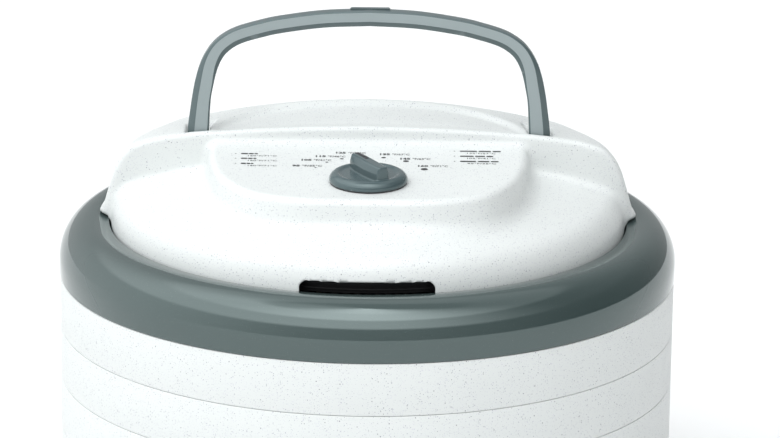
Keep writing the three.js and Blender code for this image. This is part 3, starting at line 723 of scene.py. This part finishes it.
def tray_wall():
    """The tray's outer wall with its nesting lip, and the ribs and webs that carry the floor."""
    outline = rounded(
        [
            (STACK_R, 0), (STACK_R, tray_height), (wall_inner, tray_height), (wall_inner, TRAY_FLOOR),
            (lip_inner, TRAY_FLOOR), (lip_inner, -LIP_DROP), (lip_outer, -LIP_DROP), (lip_outer, 0),
        ],
        [0.3, 0.35, 0.5, 0.5, 0.8, 0.6, 0.6, 0.4],
    )
    ribs = [bar_slab(DUCT_R - 1, lip_inner + 1, 3.0, a, 0.2, 2.2) for a in around(TRAY_SECTORS)]
    webs = [bar_slab(lip_inner - 5, lip_inner + 0.6, 1.6, a, 2.0, 7.5) for a in around(TRAY_SECTORS)]
    return merged(lathe(outline), *ribs, *webs)


def build_stack():
    vertices, faces = base_pan()
    piece("base_pan_fine", vertices, faces, "tray_white", "base", ["base_pan"])
    shape = merged(tray_wall(), tray_floor())
    for i in range(1, TRAY_COUNT + 1):
        vertices, faces = moved(shape, z=tray_low[i])
        nodes = [f"tray_{i}_wall", f"tray_{i}_floor"]
        piece(f"tray_{i}_fine", vertices, faces, "tray_white", f"tray_{i}", nodes)


build_stack()


# ---------------------------------------------------------------- lower housing with the grey ring
def quarter(side, crest, low, high, steps):
    """A quarter of an ellipse in (radius, height), from the side up to the crest."""
    made = []
    for i in range(steps + 1):
        a = math.pi / 2 * i / steps
        made.append((crest + (side - crest) * math.cos(a), low + (high - low) * math.sin(a)))
    return made


def post(r, hole, at, angle, low, high):
    """A screw post, on a circle of radius at."""
    wall = rounded([(hole, low), (r, low), (r, high), (hole, high)], 0.3, 2)
    return moved(lathe(wall, 24), at * math.cos(angle), at * math.sin(angle))


def lower_housing():
    """The glossy ring, the air channel inside it and the plate with the round intake, in one moulding."""
    skirt = rounded([(lip_outer, 0), (RING_R - 0.1, 0), (RING_R, RING_STRAIGHT)], [0.3, 0.5, 0], 3)[:-1]
    outside = quarter(RING_R, RING_CREST_R, RING_STRAIGHT, RING_CREST_Z, 28)
    inside = quarter(RING_R - RING_WALL, RING_CREST_R, RING_STRAIGHT, RING_CREST_Z - RING_WALL, 10)
    slope = rounded(
        [
            (RING_CREST_R - 1.5, RING_CREST_Z - 0.05), (RING_LIP_R, RING_LIP_Z), (RING_LIP_R, SHELF_Z),
            (CHANNEL_R - RING_WALL, SHELF_Z), (CHANNEL_R - RING_WALL, PLATE_TOP), (INTAKE_R, PLATE_TOP),
            (INTAKE_R, PLATE_UNDERSIDE), (CHANNEL_R, PLATE_UNDERSIDE), (CHANNEL_R, SHELF_Z - RING_WALL),
            (RING_LIP_R + RING_WALL, SHELF_Z - RING_WALL), (RING_LIP_R + RING_WALL, RING_LIP_Z - RING_WALL),
            (RING_CREST_R - 1, RING_CREST_Z - RING_WALL),
        ],
        [0, 0.7, 0.4, 0.6, 0.8, 0.7, 0.7, 0.6, 0.6, 0.6, 0.6, 0], 3,
    )
    tail = rounded(
        [
            (RING_R - RING_WALL, RING_WALL), (lip_inner, RING_WALL), (lip_inner, -LIP_DROP),
            (lip_outer, -LIP_DROP), (lip_outer, 0),
        ],
        [0, 0.5, 0.6, 0.6, 0], 3,
    )[:-1]
    body = lathe(skirt + outside + slope + inside[::-1] + tail, ROUND_SEGMENTS + 24)
    housing_posts = [
        post(5, 2.2, HOUSING_SCREW_R, a, PLATE_UNDERSIDE + 0.5, 28.7)
        for a in around(4, SCREW_ANGLE)
    ]
    deck_posts = [
        post(4.5, 1.9, DECK_POST_R, a, PLATE_UNDERSIDE + 1, DECK_Z - 0.3)
        for a in around(4, DECK_SCREW_ANGLE)
    ]
    ribs = [bar_slab(CHANNEL_R - 1, RING_R - 4, 1.8, a, 2.6, 12) for a in around(16, math.pi / 16)]
    return merged(body, *housing_posts, *deck_posts, *ribs)


def build_lower_housing():
    vertices, faces = moved(lower_housing(), z=head_z)
    piece("ring_fine", vertices, faces, "gloss_grey", "power_head", ["lower_housing"])


build_lower_housing()


# ---------------------------------------------------------------- upper housing
disc_line = spline([(0, DISC_TOP), (60, 61.4), (90, 59.6), (110, 56.2), (124, 52.6), (132, 49.9)], 3)
shoulder_line = spline([(132, 49.9), (136, 48.3), (139.6, 45.4), (142.2, 41.4), (144, 36), (145.1, 30)], 3)
DISC_OUTLINE = [(-60, DISC_TOP), *disc_line, *shoulder_line[1:], (DISC_R, 20), (-60, 20)]

arch_line = spline(
    [
        (0, 85.5), (30, 85), (55, 84), (78, 82.6), (98, 81.0), (116, 78.6), (126, 76.2), (133, 73.4),
        (138.6, 67.7), (142.5, 60.6), (145.4, 52), (149.5, 37.5), (151.2, 34.8), (FOOT_X, 31),
        (FOOT_X + 1, 24),
    ],
    3,
)
ARCH_OUTLINE = [(-60, 85.5), *arch_line, (FOOT_X + 1, 10), (-60, 10)]

panel_side = spline([(88.6, -20), (87, -42), (80, -72), (64, -97), (36, -108), (0, -109.5)], 5)
PANEL_OUTLINE = [(88.6, 20), *panel_side, (-60, -109.5), (-60, 20)]


def leg_pocket(ax, y, z):
    """The pocket and groove of a handle leg. ax is the distance from the middle plane."""
    clear = HANDLE_DEPTH / 2 + 0.9
    corner_y = HANDLE_Y + clear * math.cos(HANDLE_FOLD)
    corner_z = PIVOT_Z - clear * math.sin(HANDLE_FOLD) - 0.6
    floor = np.maximum(POCKET_FLOOR_Z, corner_z + (y - corner_y) / math.tan(HANDLE_FOLD))
    half = HANDLE_LEG / 2 + 0.8
    far = GROOVE_LENGTH * math.sin(HANDLE_FOLD)
    inner = HANDLE_LEG_X - half - GROOVE_WIDENING * np.clip((y - corner_y) / far, 0, 1)
    front = HANDLE_Y - clear - y
    return round_max(1.2, ax - HANDLE_LEG_X - half, inner - ax, front, floor - z)


def bridge(ax, y, z):
    """The arched bridge across the top, upright in front and sloping behind, with a foot at each side."""
    behind = np.maximum(y, 0)
    narrow_top = 1 - 0.0009 * behind - 0.00004 * behind**2
    narrow_foot = np.sqrt(1 - (np.minimum(behind, 100) / 153) ** 2)
    narrow = narrow_foot + (narrow_top - narrow_foot) * smoothstep(34, 62, z)
    rise = smoothstep(BRIDGE_FRONT_Y, BRIDGE_CREST_Y, y) * np.maximum(2.9 - 0.00062 * ax**2, -2.2)
    reach = (ax / 90) ** 4 + ((y - BRIDGE_FRONT_Y) / 51.5) ** 2
    hollow = 2.8 * smoothstep(BRIDGE_FRONT_Y, 9, y) * (1 - smoothstep(0.8, 1.0, reach))
    arch = outline_distance(ax / narrow, z - rise + hollow, ARCH_OUTLINE)
    front_y = BRIDGE_FRONT_Y + BRIDGE_FOOT_STEP * np.minimum(ax / FOOT_X, 1) ** 24
    front = front_y + 0.1 * np.maximum(z - 72, 0) - y
    slope = math.radians(27)
    back = (y - BRIDGE_BACK_Y + 5 * (ax / FOOT_X) ** 2) * math.cos(slope) + (z - 82) * math.sin(slope)
    return np.maximum(round_max(2.8, arch, front, back), FOOT_Z - z)


def panel(x, y, z):
    """The raised, slightly tilted D of the control panel."""
    height = panel_height(y)
    side = outline_distance(np.abs(x), y, PANEL_OUTLINE) - PANEL_DRAFT * (height - z)
    return round_max(PANEL_EDGE, side, (z - height) * math.cos(PANEL_TILT))


def housing_outside(x, y, z):
    """The disc, panel and bridge joined with fillets, less the pockets of the handle's legs."""
    x, y, z = np.broadcast_arrays(x, y, z)
    ax = np.abs(x)
    whole = outline_distance(np.hypot(x, y), z, DISC_OUTLINE)
    near = (y > -125) & (y < 90)
    part = [a[near] for a in (ax, y, z)]
    joined = round_min(6.0, whole[near], panel(*part))
    joined = round_min(5.0, joined, bridge(*part))
    joined = round_max(0.9, joined, -leg_pocket(*part))
    whole = whole.copy()
    whole[near] = joined
    return whole


def upper_housing(x, y, z):
    """The housing as a shell, a little thicker under the panel's foot, with its slot and its two holes."""
    outside = housing_outside(x, y, z)
    thicker = 0.9 * smoothstep(88, 98, np.hypot(x, y)) * (1 - smoothstep(62, 70, z))
    shell = np.maximum(outside, -(outside + SHELL + thicker))
    ax = np.abs(x)
    slot = np.maximum(round_max(4.5, ax - SLOT_HALF_WIDTH, z - SLOT_TOP), y + 125)
    shell = round_max(0.6, shell, -slot)
    gland = np.maximum(np.hypot(x, z - GLAND_Z) - GLAND_HOLE_R, 120 - y)
    shell = np.maximum(shell, -gland)
    shaft_y = KNOB_Y - math.tan(PANEL_TILT) * (z - panel_height(KNOB_Y))
    shaft = np.maximum(np.hypot(x, y - shaft_y) - SHAFT_HOLE_R, 60 - z)
    shell = np.maximum(shell, -shaft)
    return np.maximum(shell, HOUSING_BOTTOM - z)


def build_upper_housing():
    vertices, faces = surface(upper_housing, (-158, -150, 22), (158, 150, 96), HOUSING_VOXEL)
    vertices[:, 2] = np.maximum(vertices[:, 2], HOUSING_BOTTOM)
    bosses = [post(5, 1.9, HOUSING_SCREW_R, a, 29, 48) for a in around(4, SCREW_ANGLE)]
    vertices, faces = moved(merged((vertices, faces.tolist()), *bosses), z=head_z)
    piece(
        "housing_fine", vertices, faces, "speckled_white", "power_head",
        ["upper_housing"], 80.0,
    )


build_upper_housing()


def build_slot_screen():
    """The dark curved screen just inside the front air slot."""
    def arc(inner, outer, low, high, radius, half_turn):
        outline = rounded([(inner, low), (outer, low), (outer, high), (inner, high)], radius, 2)
        return lathe(outline, 48, math.radians(-90 - half_turn), math.radians(2 * half_turn))

    screen = arc(SCREEN_R, SCREEN_R + 1.2, 27, 44, 0.3, 24)
    slats = [arc(SCREEN_R + 1, SCREEN_R + 2.4, z, z + 0.9, 0.2, 22) for z in (29, 32, 35, 38, 41)]
    vertices, faces = moved(merged(screen, *slats), z=head_z)
    piece("air_slot_screen", vertices, faces, "slot_black", "power_head")


build_slot_screen()


# ---------------------------------------------------------------- handle
def handle():
    """The bow, as (body, flat front face): its section changes with height, from the leg's to the bar's."""
    line = spline(
        [
            (HANDLE_LEG_X, PIVOT_Z), (96.2, 80), (95.4, 90), (94.0, 102), (91.4, 114), (88.6, 121.6),
            (84.6, 127.8), (79.2, 132.4), (72.5, 135.8), (62, 139.0), (50, 141.8), (26, 145.2),
            (0, 146.4),
        ],
        8,
    )
    middle = np.array([*line, *[(-x, z) for x, z in line[::-1][1:]]])
    leg = np.array(rounded(
        [
            (-0.44, -0.5), (0.20, -0.5), (0.5, -0.12), (0.5, 0.42),
            (0.40, 0.5), (-0.40, 0.5), (-0.5, 0.42), (-0.5, -0.40),
        ],
        [0.03, 0.05, 0.08, 0.06, 0.06, 0.06, 0.06, 0.03], 3,
    ))
    bar = np.array(rounded(
        [
            (-0.16, -0.5), (0.44, -0.5), (0.5, -0.42), (0.5, 0.42),
            (0.44, 0.5), (-0.40, 0.5), (-0.5, 0.42), (-0.5, -0.16),
        ],
        [0.03, 0.05, 0.04, 0.06, 0.06, 0.06, 0.06, 0.05], 3,
    ))
    loops = []
    for i, (x, z) in enumerate(middle):
        ahead = middle[min(i + 1, len(middle) - 1)] - middle[max(i - 1, 0)]
        ahead /= np.linalg.norm(ahead)
        high = smoothstep(104, 138, z)
        width = HANDLE_LEG + (HANDLE_BAR - HANDLE_LEG) * (0.5 * smoothstep(78, 102, z) + 0.5 * high)
        for a, b in leg + (bar - leg) * high:
            across = a * width
            loops.append((x + ahead[1] * across, HANDLE_Y + b * HANDLE_DEPTH * 0.94, z - ahead[0] * across))
    count, rows = len(leg), len(middle)
    # The flat front face of each section is gathered apart so that it can take the lighter grey: painted
    # light on the face, with the rest of the bow in the darker grey as painted shade.
    faces, front, front_side = [], [], 3
    for k in range(rows - 1):
        for i in range(count):
            j = (i + 1) % count
            a, b = k * count, (k + 1) * count
            chosen = front if i == front_side else faces
            chosen.append((a + i, a + j, b + j, b + i))
    faces.append(tuple(range(count - 1, -1, -1)))
    faces.append(tuple((rows - 1) * count + i for i in range(count)))
    bosses = []
    for side in (-1, 1):
        barrel, barrel_faces = lathe(rounded([(2.8, -5.9), (4.9, -5.9), (4.9, 5.9), (2.8, 5.9)], 0.4, 2), 32)
        turned = np.stack([barrel[:, 2], barrel[:, 1], -barrel[:, 0]], axis=1)
        bosses.append(moved((turned, barrel_faces), side * HANDLE_LEG_X, HANDLE_Y, PIVOT_Z))
    tab = slab([(-12.5, -0.2), (12.5, -0.2), (10.6, 4.2), (-10.6, 4.2)], 0, 1)
    tab_vertices = np.array([(x, HANDLE_Y + 0.6 + 3.4 * z, 149.4 + y * 0.5) for x, y, z in tab[0]])
    return merged((loops, faces), *bosses, (tab_vertices, tab[1])), (loops, front)


def build_handle():
    body, front = handle()
    vertices, faces = moved(body, z=head_z)
    # The bow in the darker grey is painted shade; its front face, in the lighter grey below, is painted
    # light.
    piece("handle_fine", vertices, faces, "dark_satin", "handle", ["handle"], 32.0)
    vertices, faces = moved(front, z=head_z)
    used = sorted({i for face in faces for i in face})
    number = {old: new for new, old in enumerate(used)}
    faces = [[number[i] for i in face] for face in faces]
    piece("handle_lit_front_face", vertices[used], faces, "satin_grey", "handle")


build_handle()


# ---------------------------------------------------------------- knob, with z = 0 on the panel
KNOB_OUTLINE = [
    (-60, 5.0), (14.6, 5.0), (15.6, 5.25), (16.6, 5.75), (17.6, 5.95), (18.8, 5.7), (20.0, 5.0),
    (20.9, 4.0), (21.4, 3.0), (KNOB_R, 1.9), (21.4, 0.9), (-60, 0.9),
]


def knob_field(x, y, z):
    """A dished skirt with a lens-shaped grip across it, hollow below round its socket."""
    c, s = math.cos(KNOB_POINTER), math.sin(KNOB_POINTER)
    u, v = x * c + y * s, -x * s + y * c + KNOB_GRIP_SHIFT
    skirt = outline_distance(np.hypot(x, y), z, KNOB_OUTLINE)
    lens = np.minimum(v / KNOB_GRIP_REACH, 1) ** 2
    upright, crown = 5.2 - 1.7 * lens, 3.0 - 0.4 * lens
    half = upright + (crown - upright) * np.clip((z - 9.3) / (KNOB_TOP - 9.3), 0, 1)
    side = (np.abs(u) - half) * 0.85
    ends = np.abs(v) - KNOB_GRIP_REACH + 0.04 * (z - 5)
    grip = round_max(0.9, side, z - KNOB_TOP, ends, 1.0 - z)
    body = round_min(0.7, skirt, grip)
    hollow = np.maximum(np.hypot(x, y) - KNOB_HOLLOW_R, z - 3.6)
    socket = np.maximum(np.hypot(x, y) - KNOB_SOCKET_R, z - 10.0)
    return np.maximum(np.maximum(body, -hollow), -socket)


def on_controls(vertices):
    """From knob axes, z = 0 on the panel, to the row frame."""
    c, s = math.cos(PANEL_TILT), math.sin(PANEL_TILT)
    x, y, z = np.asarray(vertices, float).T
    return np.stack([x, KNOB_Y + y * c - z * s, head_z + panel_height(KNOB_Y) + y * s + z * c], axis=1)


def build_knob():
    vertices, faces = surface(knob_field, (-24, -24, -1), (24, 24, 17), KNOB_VOXEL)
    vertices = on_controls(vertices)
    piece("knob_fine", vertices, faces.tolist(), "knob_grey", "knob", ["thermostat_knob"], 50.0)
    c, s = math.cos(KNOB_POINTER), math.sin(KNOB_POINTER)
    half = POINTER_WIDTH / 2
    path = [(POINTER_START, KNOB_TOP), (8.0, KNOB_TOP), (13.2, KNOB_TOP)]
    bend_r = 0.9
    for step in range(1, 6):
        bend = math.pi / 2 * step / 5
        v = KNOB_GRIP_REACH - KNOB_GRIP_SHIFT - 1.2 + bend_r * math.sin(bend)
        path.append((v, KNOB_TOP - bend_r + bend_r * math.cos(bend)))
    rows = []
    for v, z in path:
        for u, lift in (
            (-half - 0.1, -0.2), (-half, POINTER_LIFT), (half, POINTER_LIFT), (half + 0.1, -0.2)
        ):
            side = u + POINTER_AT
            rows.append((side * c - v * s, side * s + v * c, z + lift))
    last = 4 * (len(path) - 1)
    faces = [(k + i, k + i + 1, k + i + 5, k + i + 4) for k in range(0, last, 4) for i in range(3)]
    faces += [(0, 3, 2, 1), (last, last + 1, last + 2, last + 3)]
    vertices = on_controls(rows)
    piece("knob_pointer_line", vertices, faces, "ink_black", "knob")
    # A thin black ring under the skirt is painted shadow: it stands for the shade in the narrow gap between
    # the knob and the panel.
    painted_gap_shade = lathe(rounded([(17, 0.15), (21.25, 0.15), (21.25, 0.95), (17, 0.95)], 0.1, 2), 72)
    piece("knob_shadow_ring", on_controls(painted_gap_shade[0]), painted_gap_shade[1], "slot_black", "knob")


build_knob()


# ---------------------------------------------------------------- printed marks on the panel
MARK_LIFT = 0.07


def on_panel(flat):
    """A flat (points, faces) mark laid on the panel, just clear of it."""
    p = np.asarray(flat[0], float)
    return np.stack([p[:, 0], p[:, 1], head_z + panel_height(p[:, 1]) + MARK_LIFT], axis=1), flat[1]


def lettering(text, width, height, weight=0.08):
    """Flat figures with their lower left corner at 0, 0, scaled to a width and height in mm."""
    curve = bpy.data.curves.new("figures", "FONT")
    curve.body = text
    curve.size = 10.0
    curve.resolution_u = 2
    curve.offset = weight
    holder = bpy.data.objects.new("figures", curve)
    bpy.context.scene.collection.objects.link(holder)
    bpy.context.view_layer.update()
    mesh = bpy.data.meshes.new_from_object(holder.evaluated_get(bpy.context.evaluated_depsgraph_get()))
    points = np.array([v.co for v in mesh.vertices], float)
    faces = [tuple(p.vertices) for p in mesh.polygons]
    bpy.data.objects.remove(holder)
    bpy.data.curves.remove(curve)
    bpy.data.meshes.remove(mesh)
    low, high = points.min(0), points.max(0)
    points[:, 0] = (points[:, 0] - low[0]) * width / (high[0] - low[0])
    points[:, 1] = (points[:, 1] - low[1]) * height / (high[1] - low[1])
    return points[:, :2], faces


def patch(x, y, width, height, radius):
    """A printed bar with rounded ends."""
    outline = rounded([(x, y), (x + width, y), (x + width, y + height), (x, y + height)], radius, 4)
    return np.array(outline), [tuple(range(len(outline)))]


def dot(x, y, diameter):
    ring = [(x + diameter / 2 * math.cos(a), y + diameter / 2 * math.sin(a)) for a in around(28)]
    return np.array(ring), [tuple(range(28))]


def shifted(flat, x, y):
    return flat[0] + np.array([x, y]), flat[1]


DIAL_CENTRE = (0.6, -62.4)
DIAL_RADIUS = 32.0
FIGURE_WIDTH = 16.6
FIGURE_RAISE = 0.8
# Angle from the top of the dial in degrees, diameter of the dot, figures, and their lower left corner.
DIAL = [
    (-69, 1.2, "95°F/35°C", (-42.3, -50.4)),
    (-48, 1.7, "105°F/41°C", (-37.3, -39.6)),
    (-29, 2.1, "115°F/46°C", (-29.5, -32.6)),
    (-8, 2.3, "125°F/52°C", (-18.3, -25.6)),
    (14, 2.6, "135°F/57°C", (6.3, -27.6)),
    (39, 3.3, "145°F/63°C", (17.6, -35.6)),
    (71, 4.0, "160°F/71°C", (27.4, -48.6)),
]


def build_marks():
    """The dial's dots and figures, and six plain bars with figures where a legend would stand."""
    dots, figures = [], []
    for degrees, diameter, text, corner in DIAL:
        a = math.radians(degrees)
        x = DIAL_CENTRE[0] + DIAL_RADIUS * math.sin(a)
        y = DIAL_CENTRE[1] + DIAL_RADIUS * math.cos(a)
        dots.append(dot(x, y, diameter))
        number, rest = text.split("°", 1)
        share = 0.34 if len(number) == 3 else 0.26
        x, y = corner[0], corner[1] + FIGURE_RAISE
        figures.append(shifted(lettering(number, FIGURE_WIDTH * share, 3.4, 0.45), x, y))
        x += FIGURE_WIDTH * (share + 0.07)
        figures.append(shifted(lettering("°" + rest, FIGURE_WIDTH * (0.93 - share), 3.2, 0.2), x, y))
    rows = [
        (-74.2, -27.8, 9.4, "160°F/71°C"), (-74.0, -36.6, 8.6, "160°F/71°C"),
        (-73.8, -46.0, 7.0, "160°F/71°C"), (48.0, -18.8, 23.0, "135°F/57°C"),
        (47.9, -28.2, 18.5, "105°F/41°C"), (47.8, -37.8, 21.5, "95°F/35°C"),
    ]
    for x, y, word, text in rows:
        dots.append(dot(x, y + 1.0, 1.0))
        start = x + 3.0
        for share in (0.42, 0.30, 0.20):
            figures.append(patch(start, y, word * share, 2.2, 0.7))
            start += word * (share + 0.04)
        figures.append(shifted(lettering(text, 16.0, 2.4), x + 7.0, y - 3.9))
    for name, flats in (("dial_dots", dots), ("dial_figures", figures)):
        vertices, faces = merged(*map(on_panel, flats))
        piece(name, vertices, faces, "ink_black", "power_head")


build_marks()


# ---------------------------------------------------------------- carried-over nodes
def dress_nodes():
    """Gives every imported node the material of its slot, including the ones that fine pieces replace."""
    slots = {part["node"]: part["material_slot"] for part in frame["record"]["subparts"]}
    for name, node in frame["nodes"].items():
        node.data.materials.clear()
        node.data.materials.append(materials[slots.get(name, "steel")])


dress_nodes()


# ---------------------------------------------------------------- floor, light and world
def build_floor():
    g = Graph("pale_floor")
    colour = g.mix(g.noise(3.0), (0.79, 0.79, 0.79, 1), (0.81, 0.81, 0.81, 1))
    material = g.finish(colour, 0.75, Emission_Color=(1, 1, 1, 1), Emission_Strength=0.05)
    mesh = bpy.data.meshes.new("floor")
    corners = [(x * FLOOR_HALF_M, y * FLOOR_HALF_M, 0) for x, y in ((-1, -1), (1, -1), (1, 1), (-1, 1))]
    mesh.from_pydata(corners, [], [(0, 1, 2, 3)])
    mesh.materials.append(material)
    floor = bpy.data.objects.new("floor", mesh)
    floor.location.z = -FLOOR_GAP_M
    bpy.context.scene.collection.objects.link(floor)


# Radiance of the studio in belts of elevation, in degrees: to the left, right, front and back.
STUDIO = {
    "floor_level": (-90, 26, (1.2, 0.0, 0.35, 0.5)),
    "walls": (26, 49, (2.0, 0.1, 2.3, 0.5)),
    "canopy": (49, 70, (2.5, 0.6, 4.0, 0.8)),
    "ceiling": (70, 91, (1.4, 0.4, 4.5, 0.4)),
}
STUDIO_BLEND = 3.0


def build_world():
    """One soft studio: its glow changes only with direction, in four belts from the floor to overhead."""
    g = Graph("studio", bpy.data.worlds, "BACKGROUND")
    parts = g.node("ShaderNodeSeparateXYZ")
    g.plug(g.node("ShaderNodeTexCoord").outputs["Generated"], parts.inputs[0])
    x, y, z = parts.outputs
    level = g.maths("SQRT", g.maths("ADD", g.maths("MULTIPLY", x, x), g.maths("MULTIPLY", y, y)))
    level = g.maths("MAXIMUM", level, 0.01)
    elevation = g.maths("MULTIPLY", g.maths("ARCSINE", z), 180 / math.pi)
    shares = []
    for axis, sign in ((x, -1), (x, 1), (y, -1), (y, 1)):
        toward = g.maths("MAXIMUM", g.maths("DIVIDE", g.maths("MULTIPLY", axis, sign), level), 0.0)
        shares.append(g.maths("MULTIPLY", toward, toward))
    total = 0.0
    for name, (start, end, glows) in STUDIO.items():
        above = g.spread(elevation, start - STUDIO_BLEND, start + STUDIO_BLEND, 0.0, 1.0, True)
        below = g.spread(elevation, end - STUDIO_BLEND, end + STUDIO_BLEND, 1.0, 0.0, True)
        belt = g.maths("MULTIPLY", above, below)
        for share, glow, side in zip(shares, glows, ("left", "right", "front", "back")):
            part = g.maths("MULTIPLY", g.maths("MULTIPLY", belt, share), glow)
            part.node.name = f"{name}_{side}"
            total = g.maths("ADD", part, total)
    g.plug(total, g.shader.inputs["Strength"])
    g.shader.inputs["Color"].default_value = (0.97, 0.99, 1.0, 1)
    bpy.context.scene.world = g.material


build_floor()
build_world()
bpy.context.scene.view_settings.view_transform = "Standard"
